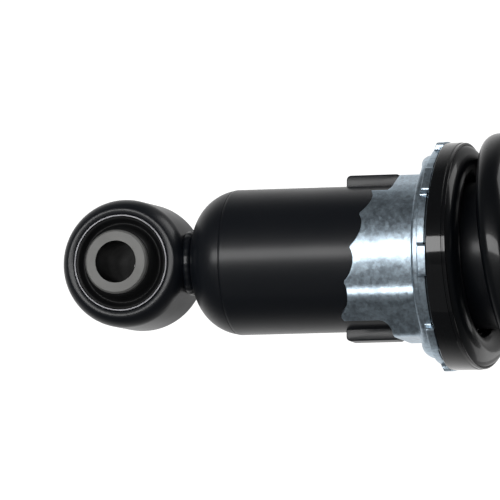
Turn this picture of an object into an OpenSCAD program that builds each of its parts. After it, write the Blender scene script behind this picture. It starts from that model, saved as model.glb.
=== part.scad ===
// Strut assembly: a coil spring over a twin-tube damper, with a rubber-bushed lower eye,
// a pressed spring perch and a studded upper mount. Millimetres.
// The strut's axis is +Z, the eye bolt's axis is Y, and the origin is where the two cross.
// Heights are measured from the eye bolt's axis, with the damper at full extension.

/* [Lower eye] */
// Outside diameter of the eye ring
eye_ring_d = 45; // [43:0.5:50]
// Width of the eye ring along the bolt
eye_ring_w = 34; // [30:1:38]
// Diameter of the flat at each end of the eye ring
eye_face_d = 38.6; // [37:0.2:41]
// Radius of the eye ring's rounded shoulders
eye_shoulder_r = 8; // [6:0.5:12]
// Outside diameter of the bush's outer shell
bush_shell_d = 34; // [32:0.5:35]
// Wall of the bush's outer shell
bush_shell_wall = 1.6; // [1:0.1:2.5]
// Outside diameter of the bush's inner sleeve
bush_sleeve_d = 22.4; // [20:0.2:24]
// Length of the bush's inner sleeve
bush_sleeve_l = 46; // [42:1:54]
// Bore of the inner sleeve, for the eye bolt
bolt_bore_d = 14.2; // [10.2:0.1:16.2]

/* [Tube and base cup] */
// Outside diameter of the reserve tube
tube_d = 51; // [49:0.5:53]
// Wall of the reserve tube
tube_wall = 2; // [1.5:0.1:2.5]
// Height of the reserve tube's top
tube_top_h = 300; // [280:5:330]
// Wall of the base cup
cup_wall = 2.4; // [2.2:0.1:3.2]
// Outside corner radius of the base cup
cup_corner_r = 14; // [11:0.5:17]
// Length of the base cup's skirt past its corner
cup_skirt_l = 2.1; // [1.5:0.1:8]
// Height of the weld pad between the eye ring's crown and the cup
weld_h = 1; // [0.6:0.1:2]
// Length of the weld pad along the bolt
weld_l = 26; // [20:1:30]
// Width of the weld pad
weld_w = 18; // [14:1:22]

/* [Perch lugs] */
// Height of the lower end of the two lugs that carry the perch
lug_base_h = 78.5; // [72:0.5:85]
// Length of a lug
lug_l = 19.5; // [16:0.5:24]
// Thickness of a lug
lug_w = 8; // [6:0.5:12]
// How far a lug stands out of the tube
lug_reach = 4.7; // [4:0.1:5.5]
// Corner radius of a lug
lug_corner_r = 1.6; // [0.8:0.2:3]
// Angle of the perch and its lugs about the strut's axis, from the eye bolt
perch_clock = -2.5; // [-15:0.5:15]

/* [Spring perch] */
// Thickness of the perch's sleeve
sleeve_sheet = 2.2; // [1.8:0.1:2.6]
// Width over the perch's two ears
ear_span = 60.2; // [58.6:0.2:62]
// Width of an ear's outer face
ear_face_w = 26; // [20:1:30]
// Width over the creases where the ears' flanks leave the round sleeve
crease_span = 24.6; // [20:0.2:26]
// Height of the flanks over a crease, beyond the round sleeve
crease_rise = 0.6; // [0.5:0.1:1.2]
// Distance from the lugs' tops up to the dish
neck_l = 8.4; // [7:0.2:12]
// Width of the slot that lets a lug into the sleeve
slot_w = 36; // [30:1:40]
// Corner radius of a slot's closed end
slot_corner_r = 4; // [2:0.5:6]
// Distance from the lugs' tops down to the tips of the skirt's teeth, on the axis
skirt_drop = 12.5; // [10:0.5:16]
// Tilt of the line that the teeth stand on, in degrees
skirt_tilt = 12.3; // [5:0.1:14]
// Number of scallops round the skirt
scallop_count = 14; // [10:1:18]
// Depth of a scallop
scallop_depth = 2.5; // [1.5:0.1:3.5]
// Thickness of the dish
dish_sheet = 2.4; // [2:0.1:2.8]
// Outside diameter of the dish's wall
dish_d = 71.4; // [69:0.2:73]
// Outside corner radius of the dish
dish_corner_r = 3; // [2.6:0.1:3.6]
// Number of tabs round the dish
tab_count = 8; // [6:1:12]
// Width of a tab
tab_w = 10.6; // [8:0.2:12]
// How far the tabs reach past the seat coil
tab_reach = 0.4; // [0.2:0.1:1.5]
// Height of the seat coil's centre above the tabs' tips
tab_drop = 4.4; // [4:0.1:5]

/* [Coil spring] */
// Diameter of the wire
wire_d = 12; // [11:0.25:12.5]
// Outside diameter of the lower seat coil
seat_coil_d = 79.6; // [79:0.2:81]
// Outside diameter of the body coils
body_coil_d = 99.4; // [97:0.2:102]
// Number of turns from tip to tip
turns = 8.75; // [8:0.25:10]
// Least gap between an end coil and the next
end_coil_gap = 0.7; // [0.6:0.1:1.5]
// Angle of the lower tip about the strut's axis
tip_angle = 155; // [140:1:170]
// Turns from the lower tip at which the coil starts to widen
widen_from = 0.47; // [0.4:0.01:0.6]
// Turns from the lower tip at which the coil has its full width
widen_to = 1.87; // [1.7:0.01:2.2]
// Thickness of rubber under the lower seat coil
lower_pad_t = 4.6; // [4:0.1:6]
// Thickness of rubber over the upper end coil
upper_pad_t = 3.4; // [2.5:0.1:5]

/* [Damper] */
// Bore of the pressure tube
bore_d = 32; // [30:0.5:33]
// Wall of the pressure tube
pressure_wall = 1.5; // [1:0.1:2]
// Diameter of the piston rod
rod_d = 14; // [12.5:0.1:15]
// Diameter of the rod's stem through the upper mount
stem_d = 12; // [10:0.5:12]
// Diameter of the rod's spigot through the piston
spigot_d = 10; // [8:0.5:11]
// Length of the piston
piston_l = 16; // [14:0.5:20]
// Length of the rod guide in the reserve tube
guide_l = 12; // [10:0.5:16]
// Thickness of the oil seal
seal_t = 4; // [3:0.5:6]
// Length of the rebound bumper on the rod
rebound_l = 12; // [8:0.5:16]
// Thickness of the tube's end cap
end_cap_t = 2.5; // [2:0.25:4]

/* [Travel] */
// Travel from full extension until the bump stop meets the end cap
stroke = 82; // [60:1:100]
// Free length of the bump stop
bump_stop_l = 50; // [40:1:60]
// Diameter of the bump stop
bump_stop_d = 40; // [34:1:42]
// Outside diameter of the dust boot's folds
boot_d = 69; // [67.6:0.2:70]
// Wall of the dust boot
boot_wall = 1.2; // [1:0.1:1.5]
// Number of folds in the dust boot
boot_folds = 14; // [8:1:18]

/* [Upper mount] */
// Thickness of the upper spring seat
seat_sheet = 3; // [2.5:0.25:4]
// Diameter over the upper spring seat's rim
seat_d = 110; // [108:1:116]
// Outside diameter of the seat's raised hub
hub_d = 78; // [74:1:82]
// Height of the hub above the seat
hub_h = 17.5; // [14:0.5:24]
// Thickness of the stud plate
plate_t = 4; // [3:0.5:6]
// Diameter of the circle that the studs stand on
stud_circle_d = 110; // [104:1:120]
// Diameter of a stud
stud_d = 10; // [8:0.5:12]
// Length of a stud above the plate
stud_l = 30; // [20:1:40]
// Radius of the plate's lobe round each stud
lobe_r = 13; // [11:0.5:16]
// Diameter of the hole in the stud plate
plate_hole_d = 60; // [50:1:66]
// Outside diameter of the mount's centre sleeve
spool_d = 25; // [20:0.5:30]
// Diameter of the mount's top washer
washer_d = 46; // [40:1:50]
// Thickness of the top washer
washer_t = 3; // [2.5:0.5:4]
// Width across the flats of the rod nut
nut_af = 19; // [17:1:22]
// Height of the rod nut
nut_h = 10; // [8:0.5:14]

/* [Hidden] */
$fn = 96;

// Clearances and small breaks
run_gap = 0.02;          // radial, between a part that turns or slides and its guide
seat_gap = 0.3;          // between soft pieces or curved faces and what they lie against
groove_gap = 0.15;       // between a spring wire and the rubber groove it lies in
fit_gap = 0.1;           // radial, between a sleeve and what it's pushed over
edge_break = 0.6;        // chamfer on machined edges
past = 1;                // how far a cut runs past the face that it opens

// Lower eye
eye_ring_r = eye_ring_d / 2;
eye_face_r = eye_face_d / 2;
bush_shell_r = bush_shell_d / 2;
bush_sleeve_r = bush_sleeve_d / 2;
shell_lip = 0.2;         // how far the shell stands out of each face of the ring
rubber_draw = 2.4;       // how far the rubber's outer edge is drawn in from the shell's end
rubber_run = 2.6;        // how far the rubber's inner edge stops short of the sleeve's end

// Reserve tube and base cup
tube_r = tube_d / 2;
tube_in_r = tube_r - tube_wall;
cup_r = tube_in_r + cup_wall;
cup_bottom_z = eye_ring_r + weld_h;
cup_arc_z = cup_bottom_z + cup_corner_r;
cup_floor_z = cup_bottom_z + cup_wall;
joint_z = cup_arc_z + cup_skirt_l;
roll_r = 3;              // outside radius of the tube's rolled top edge
roll_in = 6;             // how far the rolled edge reaches in over the seal
roll_hole_r = tube_in_r - roll_in;

// Perch
lug_top_z = lug_base_h + lug_l;
sleeve_in_r = tube_r + fit_gap;
sleeve_r = sleeve_in_r + sleeve_sheet;
ear_r = ear_span / 2;
crease_x = crease_span / 2;
crease_y = sqrt(sleeve_r * sleeve_r - crease_x * crease_x) + crease_rise;
dish_z = lug_top_z + neck_l;
dish_floor_z = dish_z + dish_sheet;
dish_r = dish_d / 2;
dish_in_r = dish_r - dish_sheet;
coil_low_z = dish_floor_z + lower_pad_t + wire_d / 2;
tab_top_z = coil_low_z - tab_drop;
tab_low_z = tab_top_z - dish_sheet;
tab_r = seat_coil_d / 2 + tab_reach;
tab_lip = 1.6;           // width of the level lip at a tab's tip
tab_rise = 0.4;          // how far that lip stands above the cone
flange_w = 1.7;          // how far the flange runs out before it splits into tabs
flange_r = dish_r + flange_w;
wall_share = 0.55;       // how much of the dish's height is wall, below its flange
wall_top_z = dish_z + wall_share * (tab_top_z - dish_z);
wall_break = 1;          // width of the bend between the wall's inside and the flange
skirt_z = lug_top_z - skirt_drop;
skirt_clock = -80;       // angle of the first scallop's middle
perch_low_z = skirt_z - ear_r * tan(skirt_tilt) - past;
sleeve_top_z = dish_z + dish_sheet / 2;

// Lower isolator
hug_turns = 0.68;        // turns from the tip over which the groove climbs with the wire
spread_turns = 0.85;     // turns from the tip over which it widens with the wire
hug_sweep = 150;         // degrees that the groove reaches round the wire, from its outer side
tip_step = 0.01;         // turns over which the groove falls back to the wire's tip
pad_gap = 0.25;          // between the isolator and the dish's bent edges
rim_t = 0.8;             // thickness of the rim outside the wire
rim_rise = 0.9;          // height of the rim's outer edge above the wire's centre
pad_in_r = sleeve_in_r + 1.6;

// Spring
wire_r = wire_d / 2;
seat_coil_r = seat_coil_d / 2 - wire_r;
body_coil_r = body_coil_d / 2 - wire_r;
rings_per_turn = 24;
wire_sides = 12;

// Damper, from the tube's top down
cap_top_z = tube_top_h + end_cap_t;
rod_r = rod_d / 2;
stem_r = stem_d / 2;
spigot_r = spigot_d / 2;
bore_r = bore_d / 2;
pressure_r = bore_r + pressure_wall;
seal_top_z = tube_top_h - tube_wall;
guide_top_z = seal_top_z - seal_t;
guide_low_z = guide_top_z - guide_l;
spigot_in = 6;           // how far the guide and base valve enter the pressure tube
guide_nose_z = guide_low_z - spigot_in;
bumper_top_z = guide_nose_z - seat_gap;
collar_t = 3;            // steel collar under the rebound bumper
collar_low_z = bumper_top_z - rebound_l - collar_t;
disc_t = 0.4;            // one valve disc
disc_count = 3;
discs_t = disc_t * disc_count;
piston_top_z = collar_low_z - discs_t;
piston_low_z = piston_top_z - piston_l;
piston_nut_h = 9;
piston_nut_af = 17;
piston_nut_top_z = piston_low_z - discs_t;
rod_low_z = piston_nut_top_z - piston_nut_h - 1.5;
band_l = piston_l * 0.6; // length of the piston's band
band_in_r = bore_r - 1.2;
band_mid_z = (piston_low_z + piston_top_z) / 2;
port_r = 1.4;            // radius of the oil's ports
base_valve_z = joint_z + 4;
base_disc_t = 6;         // thickness of the base valve's plate inside the pressure tube
base_rim_t = 3;          // thickness of its rim under the tube's end
base_pin_r = spigot_r / 2;
guide_bush_r = rod_r + 1.2;
cap_wall = 1.4;
cap_skirt_l = 9;         // how far the end cap reaches down the tube

// Upper group, from the bump stop up
shoulder_z = cap_top_z + stroke + seat_gap + bump_stop_l;
stop_cup_t = 2.5;
stop_cup_wall = 2;
stop_cup_l = 12;
stop_bore_r = rod_r + 0.5;
spool_low_z = shoulder_z + stop_cup_t;
seat_z = shoulder_z + 8; // underside of the upper spring seat
seat_top_z = seat_z + seat_sheet;
hub_r = hub_d / 2;
hub_in_r = hub_r - seat_sheet;
plate_z = seat_top_z + hub_h;
plate_top_z = plate_z + plate_t;
plate_r = hub_r + 3;     // round middle of the stud plate
spool_top_z = plate_top_z + 4;
washer_top_z = spool_top_z + washer_t;
nut_top_z = washer_top_z + nut_h;
rod_top_z = nut_top_z + 9;
stud_r = stud_d / 2;
stud_circle_r = stud_circle_d / 2;
stud_count = 3;
stud_clock = 90;         // angle of the first stud
stud_head_t = 3;
stud_head_r = stud_r + 3;
stud_knurl_r = stud_r + 0.4;
seat_r = seat_d / 2;
seat_corner_r = 4;       // outside radius of the seat's rolled edge
seat_bend_r = seat_corner_r - seat_sheet;
rim_drop = 7;            // how far the seat's rim reaches down past its underside
collar_gap = 0.8;        // between the upper isolator's collar and the coil, which breathes
spool_r = spool_d / 2;

// Dust boot
boot_r = boot_d / 2;
boot_root_r = tube_r + fit_gap + cap_wall + seat_gap + boot_wall + 1;
boot_low_z = tube_top_h - 12;
boot_cuff_l = 6;         // height of the plain cuff at each end of the folds
boot_hold_l = 22;        // how far below the seat the folds end
boot_top_z = seat_z - boot_hold_l;
boot_neck_r = hub_in_r - 3;

// The spring fills the height between its two pads. Its pitch grows evenly from nought at each
// tip, gaining end_rise in the first turn, until it reaches the body pitch.
coil_high_z = seat_z - upper_pad_t - wire_r - groove_gap;
end_rise = wire_d + end_coil_gap;
coil_h = coil_high_z - coil_low_z;
pitch = end_rise * (turns - sqrt(turns * turns - 2 * coil_h / end_rise));
ramp_turns = pitch / (2 * end_rise);
function end_climb(u) = u < ramp_turns ? end_rise * u * u : pitch * u - end_rise * ramp_turns * ramp_turns;
function coil_z(u) = u < turns / 2 ? coil_low_z + end_climb(u) : coil_high_z - end_climb(turns - u);
function smooth(s) = let (c = min(max(s, 0), 1)) c * c * (3 - 2 * c);
function widen(u) = smooth((u - widen_from) / (widen_to - widen_from));
function coil_r(u) = seat_coil_r + (body_coil_r - seat_coil_r) * widen(u);
function coil_point(u) =
    let (a = tip_angle + 360 * u)
    [coil_r(u) * cos(a), coil_r(u) * sin(a), coil_z(u)];

// Points along an arc about [x, y], from angle a0 to a1
function arc(x, y, r, a0, a1, n = 8) =
    [for (i = [0 : n]) let (a = a0 + (a1 - a0) * i / n) [x + r * cos(a), y + r * sin(a)]];

// A tube along Z from z0 to z1
module tube(r_out, r_in, z0, z1) {
    translate([0, 0, z0])
        difference() {
            cylinder(h = z1 - z0, r = r_out);
            translate([0, 0, -past])
                cylinder(h = z1 - z0 + 2 * past, r = r_in);
        }
}

// A ring about the eye bolt, from a profile of [radius, distance along the bolt]
module about_bolt(profile) {
    rotate([90, 0, 0])
        rotate_extrude()
            polygon(profile);
}

// The eye ring's section from its bore out: rounded shoulders that run down to a narrow flat
function eye_section(bore_r) =
    let (half = eye_ring_w / 2, r = eye_shoulder_r, drop = eye_ring_r - eye_face_r,
         run = sqrt(r * r - (r - drop) * (r - drop)), sweep = acos((r - drop) / r))
    concat(
        [[bore_r, half]],
        arc(eye_ring_r - r, half - run, r, sweep, 0),
        arc(eye_ring_r - r, run - half, r, 0, -sweep),
        [[bore_r, -half]]
    );

module eye_ring() {
    color("#15181b")
        about_bolt(eye_section(bush_shell_r));
}

// Weld pad that saddles the ring's crown and carries the cup's flat bottom
module eye_weld() {
    foot = eye_ring_r - sqrt(eye_ring_r * eye_ring_r - weld_w * weld_w / 4);
    straight = weld_l - weld_w;
    h = weld_h + foot + past;
    color("#15181b")
        difference() {
            translate([0, 0, cup_bottom_z - h])
                union() {
                    translate([-weld_w / 2, -straight / 2, 0])
                        cube([weld_w, straight, h]);
                    for (side = [-1, 1])
                        translate([0, side * straight / 2, 0])
                            cylinder(h = h, r = weld_w / 2);
                }
            about_bolt(eye_section(0));
        }
}

module bush_outer_shell() {
    half = eye_ring_w / 2 + shell_lip;
    inner = bush_shell_r - bush_shell_wall;
    color("#c9ccd0")
        about_bolt([
            [inner, half], [bush_shell_r, half], [bush_shell_r, -half], [inner, -half]
        ]);
}

// Rubber between shell and sleeve: drawn in at the shell, run out along the sleeve
module bush_rubber() {
    outer = bush_shell_r - bush_shell_wall;
    inner = bush_sleeve_r + run_gap;
    edge = eye_ring_w / 2 + shell_lip - rubber_draw;
    lip = bush_sleeve_l / 2 - rubber_run;
    n = 6;
    face = [for (i = [0 : n]) let (s = i / n)
        [outer + (inner - outer) * s, edge + (lip - edge) * s * s]];
    color("#1b1b1c")
        about_bolt(concat(face, [for (i = [n : -1 : 0]) [face[i][0], -face[i][1]]]));
}

module bush_inner_sleeve() {
    half = bush_sleeve_l / 2;
    c = edge_break;
    bore = bolt_bore_d / 2;
    color("#9a9da0")
        about_bolt([
            [bore, half], [bush_sleeve_r - c, half], [bush_sleeve_r, half - c],
            [bush_sleeve_r, c - half], [bush_sleeve_r - c, -half], [bore, -half]
        ]);
}

// Pressed cup that closes the tube: flat bottom, round corner, short skirt
module base_cup() {
    corner_x = cup_r - cup_corner_r;
    in_r = cup_corner_r - cup_wall;
    color("#15181b")
        rotate_extrude()
            polygon(concat(
                [[0, cup_bottom_z]],
                arc(corner_x, cup_arc_z, cup_corner_r, -90, 0),
                [[cup_r, joint_z], [tube_in_r, joint_z]],
                arc(corner_x, cup_arc_z, in_r, 0, -90),
                [[0, cup_floor_z]]
            ));
}

// Reserve tube, rolled over at the top to hold the seal and guide down
module reserve_tube() {
    color("#15181b")
        rotate_extrude()
            polygon(concat(
                [[tube_in_r, joint_z], [tube_r, joint_z]],
                arc(tube_r - roll_r, tube_top_h - roll_r, roll_r, 0, 90),
                [[roll_hole_r, tube_top_h], [roll_hole_r, seal_top_z], [tube_in_r, seal_top_z]]
            ));
}

// Two ribs on the tube, whose tops carry the perch at the closed ends of its slots
module perch_lugs() {
    color("#15181b")
        rotate([0, 0, perch_clock])
            for (side = [0, 180])
                rotate([0, 0, side])
                    difference() {
                        translate([0, lug_w / 2, 0])
                            rotate([90, 0, 0])
                                linear_extrude(lug_w)
                                    lug_outline();
                        cylinder(h = lug_top_z + past, r = tube_r);
                    }
}

module lug_outline() {
    outer = tube_r + lug_reach;
    c = lug_corner_r;
    polygon(concat(
        [[tube_r - past, lug_base_h]],
        arc(outer - c, lug_base_h + c, c, -90, 0, 4),
        arc(outer - c, lug_top_z - c, c, 0, 90, 4),
        [[tube_r - past, lug_top_z]]
    ));
}

// The sleeve's outline: round, with two ears whose flanks start at a crease. A share of 1 is
// the outer face, and a smaller share is the ears' inner face.
module ear_outline(share) {
    polygon([for (q = [[1, 1], [-1, 1], [-1, -1], [1, -1]])
        for (p = q[0] * q[1] > 0 ? [[ear_r, ear_face_w / 2], [crease_x, crease_y]]
                                 : [[crease_x, crease_y], [ear_r, ear_face_w / 2]])
            [share * q[0] * p[0], share * q[1] * p[1]]]);
}

// Pressed perch: a scalloped sleeve with two ears, under a dish with tabs round its rim
module spring_perch() {
    color("#cfd6dc")
        rotate([0, 0, perch_clock])
            difference() {
                union() {
                    dish();
                    dish_tabs();
                    perch_sleeve();
                }
                translate([0, 0, perch_low_z - past])
                    cylinder(h = dish_floor_z - perch_low_z + 2 * past, r = sleeve_in_r);
                translate([0, 0, perch_low_z - past])
                    linear_extrude(dish_z - perch_low_z + past)
                        ear_outline(1 - sleeve_sheet / ear_r);
                lug_slots();
                skirt_cut();
            }
}

module perch_sleeve() {
    translate([0, 0, perch_low_z])
        union() {
            cylinder(h = sleeve_top_z - perch_low_z, r = sleeve_r);
            linear_extrude(sleeve_top_z - perch_low_z)
                ear_outline(1);
        }
}

// Dish: floor, round corner, wall and the start of a coned flange
module dish() {
    c = dish_corner_r;
    bend_r = dish_in_r + wall_break;
    rotate_extrude()
        polygon(concat(
            [[sleeve_in_r - past, dish_z]],
            arc(dish_r - c, dish_z + c, c, -90, 0, 6),
            [[dish_r, wall_top_z], [flange_r, under_cone_z(flange_r)],
             [flange_r, cone_z(flange_r)], [bend_r, cone_z(bend_r)],
             [dish_in_r, cone_z(bend_r) - wall_break / 2]],
            arc(dish_r - c, dish_z + c, c - dish_sheet, 0, -90, 3),
            [[sleeve_in_r - past, dish_floor_z]]
        ));
}

// Height at radius r of a straight line through the points a and b, each [radius, height]
function line_z(r, a, b) = a[1] + (b[1] - a[1]) * (r - a[0]) / (b[0] - a[0]);

// Underside and top of the coned flange at radius r; the top stays clear of the seat coil
function under_cone_z(r) = line_z(r, [dish_r, wall_top_z], [tab_r, tab_low_z]);
function cone_z(r) =
    line_z(r, [dish_in_r + wall_break, wall_top_z], [tab_r - tab_lip, tab_top_z - tab_rise]);

// Tabs that carry the flange on under the isolator's rim
module dish_tabs() {
    span = 2 * asin(tab_w / 2 / tab_r);
    root = flange_r - flange_w / 2;
    lip_r = tab_r - tab_lip;
    for (i = [0 : tab_count - 1])
        rotate([0, 0, i * 360 / tab_count - 90 - span / 2])
            rotate_extrude(angle = span)
                polygon([
                    [root, under_cone_z(root)], [tab_r, tab_low_z], [tab_r, tab_top_z],
                    [lip_r + tab_rise / 2, tab_top_z], [lip_r, cone_z(lip_r)], [root, cone_z(root)]
                ]);
}

// Openings in the sleeve for the lugs, closed with round corners at the lugs' tops
module lug_slots() {
    c = slot_corner_r;
    for (side = [0, 180])
        rotate([0, 0, side])
            rotate([90, 0, 90])
                linear_extrude(ear_r + past)
                    polygon(concat(
                        [[-slot_w / 2, perch_low_z - past], [slot_w / 2, perch_low_z - past]],
                        arc(slot_w / 2 - c, lug_top_z - c, c, 0, 90, 6),
                        arc(c - slot_w / 2, lug_top_z - c, c, 90, 180, 6)
                    ));
}

// Everything below the skirt's tilted, scalloped edge
module skirt_cut() {
    reach = 2 * ear_r;
    chord = 2 * PI * sleeve_r / scallop_count;
    bite_r = (chord * chord / 4 + scallop_depth * scallop_depth) / (2 * scallop_depth);
    translate([0, 0, skirt_z])
        rotate([0, skirt_tilt, 0]) {
            translate([-reach, -reach, -2 * reach])
                cube([2 * reach, 2 * reach, 2 * reach]);
            for (i = [0 : scallop_count - 1])
                rotate([0, 0, skirt_clock + i * 360 / scallop_count])
                    translate([sleeve_in_r / 2, 0, scallop_depth - bite_r])
                        rotate([0, 90, 0])
                            cylinder(h = ear_r, r = bite_r);
        }
}

// Wire's centre that the lower isolator's groove follows, u turns from the tip
function groove_z(u) = coil_z(min(u, hug_turns));
function groove_r(u) = coil_r(min(u, spread_turns));

// One section of the lower isolator, as [radius, height] points, u turns from the wire's tip.
// The groove has its corners where the wire's sides have theirs.
function isolator_section(u) =
    let (gz = groove_z(u), gr = groove_r(u), g = wire_r + groove_gap, rim = gr + wire_r + rim_t,
         low = dish_floor_z + groove_gap, heel = dish_corner_r - dish_sheet,
         wall_r = dish_in_r - pad_gap, bend_r = dish_in_r + wall_break)
    concat(
        [[pad_in_r, low], [wall_r - heel, low], [wall_r, low + heel],
         [wall_r, cone_z(bend_r) - (wall_break - pad_gap) / 2], [bend_r, cone_z(bend_r) + pad_gap],
         [tab_r - tab_lip, tab_top_z + pad_gap / 2], [rim, tab_top_z + pad_gap / 2],
         [rim, gz + rim_rise], [gr + g + pad_gap, gz + rim_rise + pad_gap]],
        arc(gr, gz, g, 0, -hug_sweep, hug_sweep * wire_sides / 360),
        [[pad_in_r, gz - g / 2]]
    );

// Rubber seat under the lower coil: its groove climbs with the wire, and the step where it
// falls back is the stop for the wire's tip
module lower_isolator() {
    stations = concat([for (i = [0 : rings_per_turn - 1]) i / rings_per_turn], [1 - tip_step]);
    points = [for (u = stations)
        let (a = tip_angle + 360 * u)
        for (p = isolator_section(u)) [p[0] * cos(a), p[0] * sin(a), p[1]]];
    color("#141414")
        polyhedron(points, ring_faces(len(stations), len(isolator_section(0)), true));
}

// Triangles of a tube of given rings and sides, joined end to end or capped
function ring_faces(rings, sides, joined) =
    let (last = joined ? rings - 1 : rings - 2)
    concat(
        [for (i = [0 : last], j = [0 : sides - 1])
            let (k = (i + 1) % rings, m = (j + 1) % sides)
            for (f = [[i * sides + j, k * sides + m, k * sides + j],
                      [i * sides + j, i * sides + m, k * sides + m]]) f],
        joined ? [] : [for (j = [1 : sides - 2]) [0, j + 1, j]],
        joined ? [] : [for (j = [1 : sides - 2])
            [(rings - 1) * sides, (rings - 1) * sides + j, (rings - 1) * sides + j + 1]]
    );

// Points of the wire's surface, ring by ring from the lower tip
function unit(v) = v / norm(v);
coil_rings = ceil(turns * rings_per_turn);
coil_axis = [for (i = [0 : coil_rings]) coil_point(i * turns / coil_rings)];
coil_skin = [for (i = [0 : coil_rings])
    let (u = i * turns / coil_rings, a = tip_angle + 360 * u,
         ahead = unit(coil_point(u + tip_step) - coil_point(u - tip_step)),
         across = [cos(a), sin(a), 0],
         out = unit(across - ahead * (across * ahead)),
         up = cross(out, ahead))
    for (j = [0 : wire_sides - 1])
        let (b = 360 * j / wire_sides)
        coil_axis[i] + wire_r * (cos(b) * out + sin(b) * up)];

// Least gap between one stretch of the wire and another at least half a turn along
coil_gap = min([for (i = [0 : coil_rings], j = [i + rings_per_turn / 2 : coil_rings])
    norm(coil_axis[i] - coil_axis[j])]) - wire_d;
echo(coil_spring_least_gap_mm = coil_gap);

module coil_spring() {
    color("#101214")
        polyhedron(coil_skin, ring_faces(coil_rings + 1, wire_sides, false));
}

module pressure_tube() {
    color("#8d9196")
        tube(pressure_r, bore_r, base_valve_z, guide_low_z);
}

// Base valve: a plate in the foot of the pressure tube, on a ring of legs on the cup's floor
module base_valve_body() {
    leg_r = cup_r - cup_corner_r;
    leg_wall = 2.6;
    ports = 6;
    color("#8a8478")
        difference() {
            union() {
                tube(pressure_r, base_pin_r, base_valve_z - base_rim_t, base_valve_z);
                tube(bore_r - fit_gap, base_pin_r, base_valve_z, base_valve_z + base_disc_t);
                tube(leg_r, leg_r - leg_wall, cup_floor_z, base_valve_z - base_rim_t);
            }
            for (a = [0, 90])
                rotate([0, 0, a])
                    translate([-leg_r - past, -leg_r / 2, cup_floor_z - past])
                        cube([2 * (leg_r + past), leg_r, (base_valve_z - cup_floor_z) / 2]);
            for (i = [0 : ports - 1])
                rotate([0, 0, i * 360 / ports])
                    translate([bore_r * 0.62, 0, base_valve_z - base_rim_t - past])
                        cylinder(h = base_disc_t + base_rim_t + 2 * past, r = port_r);
        }
}

// Stack of thin spring discs from z up, each smaller than the one below
module disc_stack(r_out, r_in, z) {
    step = 1.2;
    for (i = [0 : disc_count - 1])
        tube(r_out - step * i, r_in, z + i * disc_t, z + (i + 1) * disc_t);
}

module base_valve_discs() {
    color("#b9bcc0")
        disc_stack(bore_r * 0.8, base_pin_r + fit_gap, base_valve_z + base_disc_t);
}

// Pin through the base valve, headed at both ends
module base_valve_pin() {
    low = base_valve_z - base_rim_t;
    top = base_valve_z + base_disc_t + discs_t;
    head_t = 2.5;
    foot_t = 2;
    color("#a2a6aa") {
        translate([0, 0, low])
            cylinder(h = top - low, r = base_pin_r);
        translate([0, 0, top])
            cylinder(h = head_t, r1 = base_pin_r + 3, r2 = base_pin_r + 1.5);
        translate([0, 0, low - foot_t])
            cylinder(h = foot_t, r = base_pin_r + 2);
    }
}

// Rod: spigot for the piston, ground shank, shoulder and threaded stem
module piston_rod() {
    c = edge_break;
    color("#d9dcdf")
        rotate_extrude()
            polygon([
                [0, rod_low_z], [spigot_r - c, rod_low_z], [spigot_r, rod_low_z + c],
                [spigot_r, collar_low_z], [rod_r - c, collar_low_z], [rod_r, collar_low_z + c],
                [rod_r, shoulder_z - c], [rod_r - c, shoulder_z], [stem_r, shoulder_z],
                [stem_r, rod_top_z - c], [stem_r - c, rod_top_z], [0, rod_top_z]
            ]);
}

// Piston: drilled through in two rings of ports, with a groove for its band
module piston() {
    ports = 8;
    color("#77736b")
        difference() {
            tube(bore_r - seat_gap, spigot_r, piston_low_z, piston_top_z);
            translate([0, 0, band_mid_z])
                tube(bore_r + past, band_in_r, -band_l / 2, band_l / 2);
            for (i = [0 : ports - 1])
                rotate([0, 0, i * 360 / ports])
                    translate([bore_r * (i % 2 == 0 ? 0.5 : 0.72), 0, piston_low_z - past])
                        cylinder(h = piston_l + 2 * past, r = port_r);
        }
}

module piston_band() {
    color("#5d4a2f")
        tube(bore_r - run_gap, band_in_r, band_mid_z - band_l / 2, band_mid_z + band_l / 2);
}

module compression_discs() {
    color("#b9bcc0")
        disc_stack(bore_r * 0.82, spigot_r, piston_top_z);
}

module rebound_discs() {
    color("#b9bcc0")
        translate([0, 0, piston_low_z])
            mirror([0, 0, 1])
                disc_stack(bore_r * 0.62, spigot_r, 0);
}

// Hexagon nut, chamfered at the top by the cone it shares with a turned blank
module hex_nut(af, bore, z, h) {
    corner = af / sqrt(3);
    difference() {
        intersection() {
            translate([0, 0, z])
                cylinder(h = h, r = corner, $fn = 6);
            translate([0, 0, z])
                rotate_extrude()
                    polygon([[0, 0], [corner, 0], [corner, h - (corner - af / 2)],
                             [af / 2, h], [0, h]]);
        }
        translate([0, 0, z - past])
            cylinder(h = h + 2 * past, r = bore);
    }
}

module piston_nut() {
    color("#a2a6aa")
        translate([0, 0, piston_nut_top_z])
            mirror([0, 0, 1])
                hex_nut(piston_nut_af, spigot_r, 0, piston_nut_h);
}

// Steel collar between the compression discs and the rebound bumper
module rebound_collar() {
    color("#a2a6aa")
        tube(bore_r * 0.7, rod_r, collar_low_z + edge_break, collar_low_z + collar_t);
}

module rebound_bumper() {
    low = collar_low_z + collar_t;
    bulge = bore_r * 0.78;
    waist = bore_r * 0.66;
    color("#3a3a38")
        rotate_extrude()
            polygon([
                [rod_r, low], [bulge, low], [bulge, low + rebound_l * 0.3],
                [waist, low + rebound_l * 0.5], [bulge, low + rebound_l * 0.7],
                [bulge - 1, bumper_top_z], [rod_r, bumper_top_z]
            ]);
}

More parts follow.
